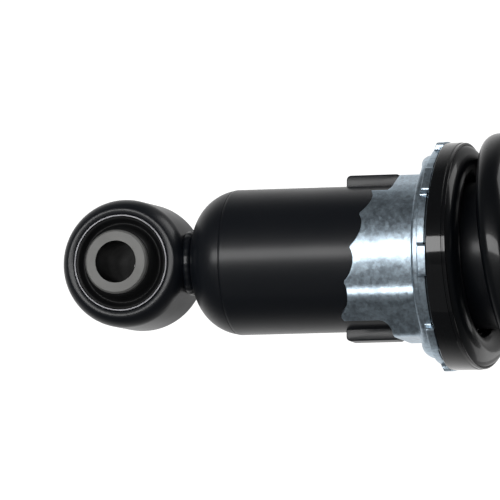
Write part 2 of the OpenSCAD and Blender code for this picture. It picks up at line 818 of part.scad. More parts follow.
// Rod guide: fills the reserve tube, with a nose in the pressure tube and return holes
module rod_guide() {
    holes = 4;
    color("#8a8478")
        difference() {
            union() {
                tube(tube_in_r, guide_bush_r, guide_low_z, guide_top_z);
                tube(bore_r, guide_bush_r, guide_nose_z, guide_low_z);
            }
            for (i = [0 : holes - 1])
                rotate([0, 0, 45 + i * 360 / holes])
                    translate([(pressure_r + tube_in_r) / 2, 0, guide_low_z - past])
                        cylinder(h = guide_l + 2 * past, r = port_r);
        }
}

module guide_bush() {
    color("#b08d4c")
        tube(guide_bush_r, rod_r + run_gap, guide_nose_z, guide_top_z - 2);
}

// Oil seal: a rubber disc with a lip round the rod
module oil_seal() {
    lip = rod_r + run_gap;
    color("#20252b")
        rotate_extrude()
            polygon([
                [lip, seal_top_z - 1], [lip + 2, seal_top_z], [tube_in_r, seal_top_z],
                [tube_in_r, guide_top_z], [lip + 3, guide_top_z], [lip + 2, guide_top_z + 1.4],
                [lip, guide_top_z + 1.6]
            ]);
}

// Cap on the tube's end, which the bump stop meets
module tube_end_cap() {
    inner = tube_r + fit_gap / 2;
    outer = inner + cap_wall;
    hole = rod_r + 2.5;
    color("#15181b")
        rotate_extrude()
            polygon(concat(
                [[inner, tube_top_h - cap_skirt_l], [outer, tube_top_h - cap_skirt_l]],
                arc(outer - roll_r, cap_top_z - roll_r, roll_r, 0, 90, 5),
                [[hole, cap_top_z], [hole, tube_top_h], [inner, tube_top_h]]
            ));
}

// Bump stop: three rounded bellies that narrow towards the tube
module bump_stop() {
    low = shoulder_z - bump_stop_l;
    top_r = bump_stop_d / 2;
    bellies = 3;
    belly_h = (bump_stop_l - stop_cup_l) / bellies;
    belly_r = top_r - 3;     // outer radius of the top belly
    belly_step = 2;          // how much narrower each lower belly is
    pinch = 4.5;             // depth of the waists between the bellies
    n = 8;
    side = [for (k = [0 : bellies - 1], i = [0 : n])
        let (r = belly_r - belly_step * (bellies - 1 - k), s = i / n)
        if (i > 0 || k == 0)
            [r - pinch + pinch * sin(180 * s), low + (k + s) * belly_h]];
    color("#d8c27a")
        rotate_extrude()
            polygon(concat(
                [[stop_bore_r, low]],
                side,
                [[top_r, low + bellies * belly_h + 1], [top_r, shoulder_z],
                 [stop_bore_r, shoulder_z]]
            ));
}

// Steel cup on the rod's shoulder, which holds the bump stop's top
module bump_stop_cup() {
    in_r = bump_stop_d / 2 + 2 * fit_gap;
    out_r = in_r + stop_cup_wall;
    low = shoulder_z - stop_cup_l + 2;
    c = stop_cup_wall;
    color("#2a2c2e")
        rotate_extrude()
            polygon(concat(
                [[in_r, low], [out_r, low]],
                arc(out_r - c, shoulder_z + stop_cup_t - c, c, 0, 90, 4),
                [[stem_r, shoulder_z + stop_cup_t], [stem_r, shoulder_z], [in_r, shoulder_z]]
            ));
}

// Dust boot: a folded tube that hangs from the seat's hub and slides over the tube
module dust_boot() {
    fold_low = boot_low_z + boot_cuff_l;
    fold_h = (boot_top_z - fold_low) / boot_folds;
    folds = [for (k = [0 : boot_folds - 1]) for (s = [0, 0.25, 0.5, 0.75])
        [boot_root_r + (boot_r - boot_root_r) * sin(180 * s), fold_low + (k + s) * fold_h]];
    held_r = hub_in_r - fit_gap;
    top = [[boot_root_r, boot_top_z], [boot_neck_r, boot_top_z + boot_cuff_l],
           [boot_neck_r, seat_z - 0.5], [held_r, seat_z + 1], [held_r, seat_z + 3]];
    side = concat([[boot_root_r, boot_low_z]], folds, top);
    color("#1c1d1f")
        rotate_extrude()
            polygon(concat(side, [for (i = [len(side) - 1 : -1 : 0])
                [side[i][0] - boot_wall, side[i][1]]]));
}

// Rubber ring between the upper end coil and its seat, with a collar inside the coil
module upper_isolator() {
    collar_r = body_coil_r - wire_r - collar_gap;
    collar_in_r = collar_r - 2.2;
    collar_l = 14;
    lead = 2;                // taper that leads the coil on
    out_r = seat_r - seat_sheet - seat_gap;
    low = seat_z - upper_pad_t;
    c = seat_bend_r + seat_gap;
    color("#141414")
        tube_profile([
            [collar_in_r, seat_z - collar_l], [collar_r - seat_gap, seat_z - collar_l],
            [collar_r, low - lead], [collar_r, low], [out_r, low], [out_r, seat_z - c],
            [out_r - c, seat_z], [hub_in_r, seat_z], [hub_in_r, low - lead / 2],
            [collar_in_r, low - lead]
        ]);
}

module tube_profile(profile) {
    rotate_extrude()
        polygon(profile);
}

// Upper spring seat: a turned-down rim, a flat seat and a raised hub that holds the rubber
module upper_spring_seat() {
    c = seat_corner_r;
    color("#15181b")
        tube_profile(concat(
            [[seat_r - seat_sheet, seat_z - rim_drop], [seat_r, seat_z - rim_drop]],
            arc(seat_r - c, seat_top_z - c, c, 0, 90, 5),
            [[hub_r, seat_top_z], [hub_r, plate_z], [hub_in_r, plate_z], [hub_in_r, seat_z]],
            arc(seat_r - c, seat_top_z - c, seat_bend_r, 90, 0, 3)
        ));
}

// Stud plate: three lobes joined by a round middle, welded on the hub
module stud_plate() {
    color("#15181b")
        translate([0, 0, plate_z])
            difference() {
                union() {
                    cylinder(h = plate_t, r = plate_r);
                    for (i = [0 : stud_count - 1])
                        rotate([0, 0, stud_clock + i * 360 / stud_count])
                            lobe();
                }
                translate([0, 0, -past])
                    cylinder(h = plate_t + 2 * past, r = plate_hole_d / 2);
                for (i = [0 : stud_count - 1])
                    rotate([0, 0, stud_clock + i * 360 / stud_count])
                        translate([stud_circle_r, 0, -past])
                            cylinder(h = plate_t + 2 * past, r = stud_knurl_r);
            }
}

// One lobe: round at the stud, with tangent sides that run in to the plate's round middle
module lobe() {
    lean = asin((plate_r - lobe_r) / stud_circle_r);
    translate([stud_circle_r, 0, 0])
        cylinder(h = plate_t, r = lobe_r);
    linear_extrude(plate_t)
        polygon([
            [plate_r * sin(lean), plate_r * cos(lean)],
            [plate_r * sin(lean), -plate_r * cos(lean)],
            [stud_circle_r + lobe_r * sin(lean), -lobe_r * cos(lean)],
            [stud_circle_r + lobe_r * sin(lean), lobe_r * cos(lean)]
        ]);
}

// Studs with thin round heads under the plate and a knurl pressed through it
module mount_studs() {
    c = 1;
    color("#b9bcc0")
        for (i = [0 : stud_count - 1])
            rotate([0, 0, stud_clock + i * 360 / stud_count])
                translate([stud_circle_r, 0, 0])
                    rotate_extrude()
                        polygon([
                            [0, plate_z - stud_head_t], [stud_head_r, plate_z - stud_head_t],
                            [stud_head_r, plate_z], [stud_knurl_r, plate_z],
                            [stud_knurl_r, plate_top_z], [stud_r, plate_top_z],
                            [stud_r, plate_top_z + stud_l - c],
                            [stud_r - c, plate_top_z + stud_l], [0, plate_top_z + stud_l]
                        ]);
}

// Bonded rubber between the hub and the centre sleeve, with a crown through the plate
module mount_rubber() {
    crown_r = plate_hole_d / 2 - seat_gap;
    crown_h = 2.5;           // how far the crown stands above the plate
    low = seat_top_z;
    color("#1b1b1c")
        tube_profile([
            [spool_r, low + 2], [spool_r + 6, low], [hub_in_r, low], [hub_in_r, plate_z],
            [crown_r, plate_z], [crown_r, plate_top_z], [crown_r - 3, plate_top_z + crown_h],
            [spool_r, plate_top_z + crown_h]
        ]);
}

module mount_spool() {
    color("#8d9196")
        tube(spool_r, stem_r + fit_gap, spool_low_z, spool_top_z);
}

// Top washer, dished down at its rim
module top_washer() {
    r = washer_d / 2;
    hole_r = stem_r + fit_gap;
    droop = 1.2;             // how far the rim is dished down
    color("#c2a94f")
        tube_profile([
            [hole_r, spool_top_z], [spool_r + 1, spool_top_z], [r - 1, spool_top_z - droop],
            [r, spool_top_z - droop / 2], [r - 1, washer_top_z - droop],
            [spool_r + 2, washer_top_z], [hole_r, washer_top_z]
        ]);
}

module rod_nut() {
    color("#c2a94f")
        hex_nut(nut_af, stem_r, washer_top_z, nut_h);
}

eye_ring();
eye_weld();
bush_outer_shell();
bush_rubber();
bush_inner_sleeve();
base_cup();
reserve_tube();
perch_lugs();
spring_perch();
lower_isolator();
coil_spring();
pressure_tube();
base_valve_body();
base_valve_discs();
base_valve_pin();
piston_rod();
piston();
piston_band();
compression_discs();
rebound_discs();
piston_nut();
rebound_collar();
rebound_bumper();
rod_guide();
guide_bush();
oil_seal();
tube_end_cap();
bump_stop();
bump_stop_cup();
dust_boot();
upper_isolator();
upper_spring_seat();
stud_plate();
mount_studs();
mount_rubber();
mount_spool();
top_washer();
rod_nut();
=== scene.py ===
"""Strut assembly: the looks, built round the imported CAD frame.

Sizes in the classes are millimetres, in the frame's own axes: +Z runs up the strut, the eye
bolt lies along Y, and the origin is where the two cross. Clock angles are degrees from +X.
"""

from __future__ import annotations

import logging
from dataclasses import dataclass, field
from enum import Enum
from math import acos, asin, atan2, cos, degrees, hypot, pi, radians, sin, sqrt, tan

import bmesh
import bpy
from mathutils import Matrix, Vector


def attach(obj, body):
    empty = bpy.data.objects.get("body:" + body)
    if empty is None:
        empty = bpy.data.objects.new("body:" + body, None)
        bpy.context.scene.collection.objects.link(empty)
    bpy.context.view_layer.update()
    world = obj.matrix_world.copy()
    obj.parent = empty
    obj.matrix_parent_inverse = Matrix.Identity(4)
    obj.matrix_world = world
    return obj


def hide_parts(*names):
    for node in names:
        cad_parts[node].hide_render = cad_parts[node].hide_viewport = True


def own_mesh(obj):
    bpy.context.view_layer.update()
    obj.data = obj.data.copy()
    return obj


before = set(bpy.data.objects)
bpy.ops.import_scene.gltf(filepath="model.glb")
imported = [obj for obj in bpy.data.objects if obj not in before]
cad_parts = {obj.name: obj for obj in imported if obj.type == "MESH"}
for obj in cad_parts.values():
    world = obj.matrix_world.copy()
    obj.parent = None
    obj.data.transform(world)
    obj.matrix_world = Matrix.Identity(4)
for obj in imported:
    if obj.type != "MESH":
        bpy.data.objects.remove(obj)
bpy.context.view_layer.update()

logging.basicConfig(level=logging.INFO, format="%(message)s")
LOG = logging.getLogger("strut")

MM = 0.001
SHARP = 34.0
Point = tuple[float, float]
Place = tuple[float, float, float]
Solid = tuple[list[Place], list[tuple[int, ...]]]
Socket = bpy.types.NodeSocket
Inputs = dict[str | int, object]


class Body(Enum):
    """The bodies that pieces ride on."""

    STRUT = "strut_body"
    SLEEVE = "bush_sleeve"
    MOUNT = "rod_and_mount"


class Axis(Enum):
    """What a turned piece is turned about."""

    STRUT = "Z"
    BOLT = "Y"


# ------------------------------------------------------------------------------ outlines


def arc(x: float, y: float, r: float, start: float, end: float, steps: int = 16) -> list[Point]:
    """Points along an arc.

    Args:
        x: First coordinate of the centre.
        y: Second coordinate of the centre.
        r: Radius.
        start: First angle, in degrees.
        end: Last angle, in degrees.
        steps: Number of straight steps.

    Returns:
        The arc's points, both ends among them.
    """
    angles = [radians(start + (end - start) * i / steps) for i in range(steps + 1)]
    return [(x + r * cos(a), y + r * sin(a)) for a in angles]


def eased(outline: list[Point], radii: dict[int, float], steps: int = 4) -> list[Point]:
    """Rounds corners of a closed outline, and keeps its number of points whatever its size.

    Args:
        outline: The corners, in order.
        radii: Radii by corner number; the other corners stay sharp.
        steps: Number of straight steps round a corner.

    Returns:
        The outline with those corners rounded.
    """
    made: list[Point] = []
    for i, corner in enumerate(outline):
        if i not in radii:
            made.append(corner)
            continue
        ends = []
        for other in (outline[i - 1], outline[(i + 1) % len(outline)]):
            x, y = other[0] - corner[0], other[1] - corner[1]
            ends.append((x, y, hypot(x, y)))
        (ax, ay, la), (bx, by, lb) = ends
        if min(la, lb) < 1e-6:
            made += [corner] * (steps + 1)
            continue
        cosine = max(-1.0, min(1.0, (ax * bx + ay * by) / (la * lb)))
        run = min(radii[i] / tan(max(acos(cosine) / 2, 1e-3)), 0.45 * la, 0.45 * lb)
        p = (corner[0] + ax / la * run, corner[1] + ay / la * run)
        q = (corner[0] + bx / lb * run, corner[1] + by / lb * run)
        for k in range(steps + 1):
            s = k / steps
            u, v, w = (1 - s) ** 2, 2 * s * (1 - s), s * s
            made.append(tuple(u * p[n] + v * corner[n] + w * q[n] for n in (0, 1)))
    return made


def inset(x: float, y: float, *steps: Point) -> list[Point]:
    """Points that lie these distances in from (x, y)."""
    return [(x - dx, y - dy) for dx, dy in steps]


def mirrored(half: list[Point]) -> list[Point]:
    """A section that is the same on both sides of the strut's middle plane."""
    return half + [(r, -h) for r, h in reversed(half)]


def smooth(s: float) -> float:
    """Rises from 0 to 1 with level ends, as s does."""
    c = min(max(s, 0.0), 1.0)
    return c * c * (3 - 2 * c)


def wrapped(a: float) -> float:
    """The same angle, between -pi and pi."""
    return atan2(sin(a), cos(a))


# ------------------------------------------------------------------------------ meshes


def ring_faces(rings: int, sides: int, closed: bool) -> list[tuple[int, ...]]:
    """Faces of a tube of rings, each a closed loop of sides.

    Args:
        rings: Number of rings.
        sides: Points in each ring.
        closed: Whether the last ring joins the first, or both ends are capped.

    Returns:
        Quads, and two end caps where the rings aren't closed.
    """
    faces: list[tuple[int, ...]] = []
    for i in range(rings if closed else rings - 1):
        k = (i + 1) % rings
        for j in range(sides):
            m = (j + 1) % sides
            faces.append((i * sides + j, k * sides + j, k * sides + m, i * sides + m))
    if not closed:
        faces.append(tuple(range(sides)))
        faces.append(tuple(range((rings - 1) * sides, rings * sides))[::-1])
    return faces


def swept(sections: list[tuple[float, list[Point]]]) -> Solid:
    """Joins closed sections that stand round the strut's axis.

    Args:
        sections: Each section's angle, in radians, and its corners as (radius, height).

    Returns:
        The points in millimetres and the faces.
    """
    points = [(r * cos(a), r * sin(a), z) for a, section in sections for r, z in section]
    return points, ring_faces(len(sections), len(sections[0][1]), closed=True)


def turned(profile: list[Point], axis: Axis = Axis.STRUT, segments: int = 192) -> Solid:
    """Turns a closed profile about an axis.

    Args:
        profile: Corners as (radius, distance along the axis).
        axis: The axis to turn about.
        segments: Number of steps round.

    Returns:
        The points in millimetres and the faces.
    """
    points, faces = swept([(2 * pi * i / segments, profile) for i in range(segments)])
    return (points if axis is Axis.STRUT else [(y, z, x) for x, y, z in points]), faces


def joined(solids: list[Solid]) -> Solid:
    """Puts several solids into one.

    Args:
        solids: The solids, which don't share points.

    Returns:
        The points in millimetres and the faces.
    """
    points: list[Place] = []
    faces: list[tuple[int, ...]] = []
    for some, more in solids:
        faces += [tuple(len(points) + i for i in f) for f in more]
        points += some
    return points, faces


def raw_mesh(name: str, points: list[Place], edges: list[tuple[int, int]],
             faces: list[tuple[int, ...]]) -> bpy.types.Mesh:
    """A mesh in metres.

    Args:
        name: The mesh's name.
        points: The points in millimetres.
        edges: Pairs of point numbers.
        faces: Rows of point numbers.

    Returns:
        The mesh.
    """
    mesh = bpy.data.meshes.new(name)
    mesh.from_pydata([(x * MM, y * MM, z * MM) for x, y, z in points], edges, faces)
    return mesh


def linked(name: str, data: bpy.types.ID) -> bpy.types.Object:
    """Puts an object into the scene, at the origin.

    Args:
        name: The object's name.
        data: Its mesh, camera or lamp.

    Returns:
        The object.
    """
    made = bpy.data.objects.new(name, data)
    bpy.context.scene.collection.objects.link(made)
    return made


def finish_mesh(mesh: bpy.types.Mesh, sharp: float, outward: bool) -> None:
    """Merges doubles, turns faces outwards and marks the sharp edges of a smooth mesh.

    Args:
        mesh: The mesh, changed in place.
        sharp: Angle between faces past which an edge is sharp, in degrees.
        outward: Whether the faces' directions are worked out again.
    """
    work = bmesh.new()
    work.from_mesh(mesh)
    bmesh.ops.remove_doubles(work, verts=work.verts, dist=2e-7)
    bmesh.ops.dissolve_degenerate(work, edges=work.edges, dist=1e-7)
    if outward:
        bmesh.ops.recalc_face_normals(work, faces=work.faces)
    for face in work.faces:
        face.smooth = True
    limit = radians(sharp)
    for edge in work.edges:
        edge.smooth = len(edge.link_faces) != 2 or edge.calc_face_angle(0) < limit
    work.to_mesh(mesh)
    work.free()


def piece(name: str, solid: Solid, sharp: float = SHARP) -> bpy.types.Object:
    """Makes an object of points and faces.

    Args:
        name: The piece's name.
        solid: Points in millimetres, and faces.
        sharp: Angle past which an edge is sharp, in degrees.

    Returns:
        The object, at the origin, in metres.
    """
    mesh = raw_mesh(name, solid[0], [], solid[1])
    mesh.validate()
    finish_mesh(mesh, sharp, outward=True)
    return linked(name, mesh)


def settle(source: bpy.types.Object, name: str) -> bpy.types.Object:
    """Turns an object's modifiers into a plain mesh, and removes the first object.

    Args:
        source: The object with modifiers.
        name: The name of what comes out.

    Returns:
        A new object with the finished mesh.
    """
    graph = bpy.context.evaluated_depsgraph_get()
    mesh = bpy.data.meshes.new_from_object(source.evaluated_get(graph))
    bpy.data.objects.remove(source)
    finish_mesh(mesh, SHARP, outward=False)
    mesh.name = name
    return linked(name, mesh)


def broken(source: bpy.types.Object, width: float, segments: int, angle: float = 40) -> bpy.types.Object:
    """Breaks an object's sharp edges with a bevel.

    Args:
        source: The object; it is replaced.
        width: Width of the bevel in millimetres.
        segments: Steps across the bevel.
        angle: Edges sharper than this are broken, in degrees.

    Returns:
        The new object, under the old name.
    """
    name = source.name
    bevel = source.modifiers.new("break", "BEVEL")
    bevel.width = width * MM
    bevel.segments = segments
    bevel.limit_method = "ANGLE"
    bevel.angle_limit = radians(angle)
    bevel.use_clamp_overlap = True
    source.name = name + ".raw"
    return settle(source, name)


def from_cad(node: str, name: str) -> bpy.types.Object:
    """Copies a CAD node's mesh into a new object, merged and with its flat faces joined.

    Args:
        node: The CAD node.
        name: The name of the copy.

    Returns:
        The copy.
    """
    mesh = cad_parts[node].data.copy()
    mesh.name = name
    work = bmesh.new()
    work.from_mesh(mesh)
    bmesh.ops.remove_doubles(work, verts=work.verts, dist=1e-6)
    bmesh.ops.dissolve_limit(work, angle_limit=radians(0.5), verts=work.verts, edges=work.edges)
    work.to_mesh(mesh)
    work.free()
    return linked(name, mesh)


# ------------------------------------------------------------------------------ nodes


class Nodes:
    """Adds nodes to a tree."""

    family = "ShaderNode"

    def __init__(self, tree: bpy.types.NodeTree) -> None:
        """Starts from a tree."""
        self.tree = tree

    def feed(self, node: bpy.types.Node, inputs: Inputs) -> None:
        """Sets or links a node's inputs.

        Args:
            node: The node.
            inputs: Values or output sockets, by input name or number.
        """
        for key, value in inputs.items():
            if isinstance(value, Socket):
                self.tree.links.new(value, node.inputs[key])
            else:
                node.inputs[key].default_value = value

    def add(self, kind: str, inputs: Inputs | None = None, **settings: object) -> bpy.types.Node:
        """Adds a node.

        Args:
            kind: The node's type, without its family's name.
            inputs: Values or output sockets, by input name or number.
            settings: The node's own properties.

        Returns:
            The node.
        """
        node = self.tree.nodes.new(self.family + kind)
        for key, value in settings.items():
            setattr(node, key, value)
        self.feed(node, inputs or {})
        return node

    def maths(self, operation: str, *values: object) -> Socket:
        """One step of arithmetic."""
        return self.add("Math", dict(enumerate(values)), operation=operation).outputs[0]

    def spread(self, value: Socket, low: float, high: float, a: float, b: float,
               **settings: object) -> Socket:
        """Takes a value from the range low to high to the range a to b."""
        return self.add("MapRange", {"Value": value, "From Min": low, "From Max": high,
                                     "To Min": a, "To Max": b}, **settings).outputs["Result"]


class Recipe(Nodes):
    """A Geometry Nodes tree with named inputs, baked into a plain mesh."""

    family = "GeometryNode"

    def __init__(self, name: str, values: dict[str, float | int]) -> None:
        """Makes an empty tree.

        Args:
            name: The tree's name.
            values: Each input's value, by name; a whole number makes a whole-number input.
        """
        super().__init__(bpy.data.node_groups.new(name, "GeometryNodeTree"))
        self.values = values
        kinds = {key: "Int" if isinstance(value, int) else "Float" for key, value in values.items()}
        kinds = {"Geometry": "Geometry", **kinds, "Finish": "Material"}
        new = self.tree.interface.new_socket
        self.sockets = {key: new(key, in_out="INPUT", socket_type="NodeSocket" + kind)
                        for key, kind in kinds.items()}
        new("Geometry", in_out="OUTPUT", socket_type="NodeSocketGeometry")
        self.given = self.tree.nodes.new("NodeGroupInput").outputs

    def close(self, shape: Socket) -> None:
        """Ends the tree with real geometry and its finish.

        Args:
            shape: The geometry that the tree has made.
        """
        real = self.add("RealizeInstances", {0: shape}).outputs[0]
        dressed = self.add("SetMaterial", {"Geometry": real, "Material": self.given["Finish"]})
        self.feed(self.tree.nodes.new("NodeGroupOutput"), {0: dressed.outputs[0]})

    def bake(self, source: bpy.types.Object, name: str, material: bpy.types.Material,
             **values: float) -> bpy.types.Object:
        """Runs the tree on an object.

        Args:
            source: What the tree starts from; it is replaced.
            name: The new piece's name.
            material: The finish that the tree sets.
            values: Inputs that differ from the recipe's own.

        Returns:
            The baked piece.
        """
        modifier = source.modifiers.new("recipe", "NODES")
        modifier.node_group = self.tree
        for key, value in {**self.values, **values, "Finish": material}.items():
            modifier[self.sockets[key].identifier] = value
        source.name = name + ".path"
        return settle(source, name)


def wire_recipe() -> Recipe:
    """A round wire along an edge path, whose girth attribute scales its radius.

    Returns:
        The recipe.
    """
    recipe = Recipe("wire_along_path", {"Radius": 1.0, "Sides": 32})
    path = recipe.add("MeshToCurve", {"Mesh": recipe.given["Geometry"]})
    girth = recipe.add("InputNamedAttribute", {"Name": "girth"})
    ring = recipe.add("CurvePrimitiveCircle", {"Resolution": recipe.given["Sides"],
                                               "Radius": recipe.given["Radius"]})
    recipe.close(recipe.add("CurveToMesh", {"Curve": path.outputs[0], "Profile Curve": ring.outputs[0],
                                            "Scale": girth.outputs[0], "Fill Caps": True}).outputs[0])
    return recipe


def thread_recipe() -> Recipe:
    """A screw thread's ridge at each point of the mesh that comes in, rising along Z.

    Returns:
        The recipe.
    """
    recipe = Recipe("thread_ridge", {"Radius": 0.005, "Length": 0.02, "Turns": 10.0, "Ridge": 0.0008})
    given = recipe.given
    spiral = recipe.add("CurveSpiral", {
        "Resolution": 40, "Rotations": given["Turns"], "Start Radius": given["Radius"],
        "End Radius": given["Radius"], "Height": given["Length"]})
    ridge = recipe.add("CurvePrimitiveCircle", {"Resolution": 4, "Radius": given["Ridge"]})
    thread = recipe.add("CurveToMesh", {"Curve": spiral.outputs[0], "Profile Curve": ridge.outputs[0],
                                        "Fill Caps": True})
    recipe.close(recipe.add("InstanceOnPoints", {"Points": given["Geometry"],
                                                 "Instance": thread.outputs[0]}).outputs[0])
    return recipe


def path_object(points: list[Place], girths: list[float], closed: bool) -> bpy.types.Object:
    """An edge path for a recipe to start from.

    Args:
        points: The path's points in millimetres.
        girths: How thick a wire is at each point, as a share of its radius.
        closed: Whether the path closes on itself.

    Returns:
        The object.
    """
    n = len(points)
    mesh = raw_mesh("path", points, [(i, (i + 1) % n) for i in range(n if closed else n - 1)], [])
    mesh.attributes.new("girth", "FLOAT", "POINT").data.foreach_set("value", girths)
    return linked("path", mesh)


# ------------------------------------------------------------------------------ finishes


class Shade(Nodes):
    """Adds nodes to a material; noise scales are per metre."""

    def __init__(self, material: bpy.types.Material) -> None:
        """Starts from a new material with one Principled shader.

        Args:
            material: The material.
        """
        material.use_nodes = True
        super().__init__(material.node_tree)
        self.shader = self.tree.nodes["Principled BSDF"]
        self.place = self.add("TexCoord").outputs["Object"]

    def set(self, **sockets: object) -> None:
        """Sets or links the shader's own sockets, with _ for a space in a name."""
        self.feed(self.shader, {key.replace("_", " "): value for key, value in sockets.items()})

    def noise(self, scale: float, detail: float = 2.0, roughness: float = 0.5,
              vector: Socket | None = None) -> Socket:
        """Noise over the piece, as a value from 0 to 1."""
        return self.add("TexNoise", {"Vector": vector or self.place, "Scale": scale, "Detail": detail,
                                     "Roughness": roughness}).outputs["Fac"]

    def mixed(self, share: Socket, a: object, b: object) -> Socket:
        """A colour between a and b."""
        return self.add("Mix", {0: share, 6: a, 7: b}, data_type="RGBA").outputs[2]

    def around(self, value: Socket, middle: float, less: float, more: float) -> Socket:
        """Takes a noise's middle range to a little less and a little more than a number."""
        return self.spread(value, 0.3, 0.7, middle - less, middle + more)

    def bumped(self, height: Socket, depth: float, **below: Socket) -> Socket:
        """A normal from a height that runs from 0 to 1, depth metres deep, over another Normal."""
        return self.add("Bump", {"Height": height, "Distance": depth, "Strength": 1.0, **below}).outputs[0]


@dataclass(frozen=True)
class Finish:
    """A plain finish with gentle mottling; the other finishes build on it.

    Args:
        slot: The record's material slot.
        colour: Base colour, linear.
        roughness: Roughness of the surface.
        metallic: 1 for bare metal.
    """

    slot: str
    colour: tuple[float, float, float]
    roughness: float = 0.5
    metallic: float = 0.0

    @property
    def name(self) -> str:
        """The material's name."""
        return f"{self.slot}_{type(self).__name__.lower()}"

    def material(self) -> bpy.types.Material:
        """The finish's material, made once.

        Returns:
            The material.
        """
        found = bpy.data.materials.get(self.name)
        if found:
            return found
        material = bpy.data.materials.new(self.name)
        shade = Shade(material)
        shade.set(Metallic=self.metallic)
        self.paint(shade)
        return material

    def tint(self, by: float) -> tuple[float, float, float, float]:
        """The colour, lighter or darker by a factor."""
        r, g, b = (min(1.0, c * by) for c in self.colour)
        return (r, g, b, 1.0)

    def paint(self, shade: Shade) -> None:
        """Gives the shader its colour, roughness and relief.

        Args:
            shade: The material's nodes.
        """
        shade.set(Base_Color=shade.mixed(shade.noise(60, 4, 0.6), self.tint(0.85), self.tint(1.15)),
                  Roughness=shade.around(shade.noise(240, 3), self.roughness, 0.05, 0.06),
                  Normal=shade.bumped(shade.noise(900, 3), 2e-5))


@dataclass(frozen=True)
class Enamel(Finish):
    """Stoved paint over steel: orange peel, a few fine hairline marks and a soft gloss.

    Args:
        peel: Depth of the orange peel in metres.
        gloss: Roughness of the clear top layer.
    """

    peel: float = 6e-6
    gloss: float = 0.12

    def paint(self, shade: Shade) -> None:
        """Paint with a smoother skin on top.

        Args:
            shade: The material's nodes.
        """
        dust = shade.noise(35, 5, 0.62)
        drawn = shade.add("Mapping", {"Vector": shade.place, "Scale": (160, 160, 1.2)}).outputs[0]
        hairs = shade.spread(shade.noise(5, 1, 0.4, drawn), 0.70, 0.74, 0.0, 1.0)
        worn = shade.maths("MULTIPLY", hairs, shade.spread(dust, 0.55, 0.7, 0.0, 0.35))
        shade.set(Base_Color=shade.mixed(worn, self.tint(1.0), self.tint(2.4)),
                  Roughness=shade.around(dust, self.roughness, 0.04, 0.06),
                  Specular_IOR_Level=0.25, Coat_Weight=0.45, Coat_Roughness=self.gloss, Coat_IOR=1.5,
                  Normal=shade.bumped(shade.noise(700, 2, 0.4), self.peel),
                  Coat_Normal=shade.bumped(shade.noise(450, 2, 0.4), self.peel * 0.6))


@dataclass(frozen=True)
class Spangle(Finish):
    """Bright zinc on pressed sheet: crystals about a millimetre across, some dull, some bright.

    Args:
        cell: Crystals per metre.
    """

    cell: float = 900.0

    def paint(self, shade: Shade) -> None:
        """Crystals of differing grey and gloss, under soft clouds and a fine grain.

        Args:
            shade: The material's nodes.
        """
        crystals = shade.add("TexVoronoi", {"Vector": shade.place, "Scale": self.cell, "Randomness": 1.0})
        tone = shade.add("SeparateColor", {0: crystals.outputs["Color"]}).outputs[0]
        grain, cloud, wide = shade.noise(2600, 3, 0.7), shade.noise(420, 7, 0.78), shade.noise(110, 5, 0.66)
        level = shade.maths("MULTIPLY_ADD", tone, 0.12, shade.maths("MULTIPLY", cloud, 0.7))
        level = shade.spread(shade.maths("MULTIPLY_ADD", wide, 0.42, level), 0.49, 0.75, 0.0, 1.0)
        relief = shade.bumped(cloud, 2.4e-5, Normal=shade.bumped(grain, 8e-6))
        rough = shade.around(cloud, self.roughness, 0.0, 0.1)
        shade.set(Base_Color=shade.mixed(level, self.tint(0.62), self.tint(1.1)),
                  Roughness=shade.maths("MULTIPLY_ADD", tone, 0.05, rough),
                  Normal=shade.bumped(wide, 1.2e-4, Normal=relief))


@dataclass(frozen=True)
class Turned(Finish):
    """Turned steel: fine rings about the piece's axis.

    Args:
        axis: The axis that the rings run round.
        rings: Rings per metre.
        depth: Depth of the rings in metres.
        bore: Radius inside which the steel is painted near black, as painted shade in the hole, in metres.
    """

    axis: Axis = Axis.STRUT
    rings: float = 5000.0
    depth: float = 4e-6
    bore: float = 0.0

    @property
    def name(self) -> str:
        """The material's name, one for each axis."""
        return f"{self.slot}_turned_{self.axis.value.lower()}"

    def paint(self, shade: Shade) -> None:
        """Tool marks by distance from the axis and along it, stains, and painted shade inside the bore.

        Args:
            shade: The material's nodes.
        """
        x, y, z = shade.add("SeparateXYZ", {0: shade.place}).outputs
        across, along = ((x, y), z) if self.axis is Axis.STRUT else ((x, z), y)
        squares = [shade.maths("MULTIPLY", part, part) for part in across]
        radius = shade.maths("SQRT", shade.maths("ADD", *squares))
        marks = shade.add("TexNoise", {"W": shade.maths("ADD", radius, along), "Scale": self.rings,
                                       "Detail": 3.0}, noise_dimensions="1D")
        stain = shade.noise(120, 4, 0.6)
        colour = shade.mixed(stain, self.tint(0.82), self.tint(1.12))
        # Painted shade: inside the bore radius the steel is coloured near black and loses its metal sheen.
        if self.bore:
            inside = shade.maths("LESS_THAN", radius, self.bore)
            colour = shade.mixed(inside, colour, self.tint(0.02))
            bare = shade.maths("MULTIPLY", shade.maths("SUBTRACT", 1.0, inside), self.metallic)
            shade.set(Specular_IOR_Level=0.05, Metallic=bare)
        shade.set(Base_Color=colour, Roughness=shade.around(stain, self.roughness, 0.05, 0.08),
                  Normal=shade.bumped(marks.outputs["Fac"], self.depth))


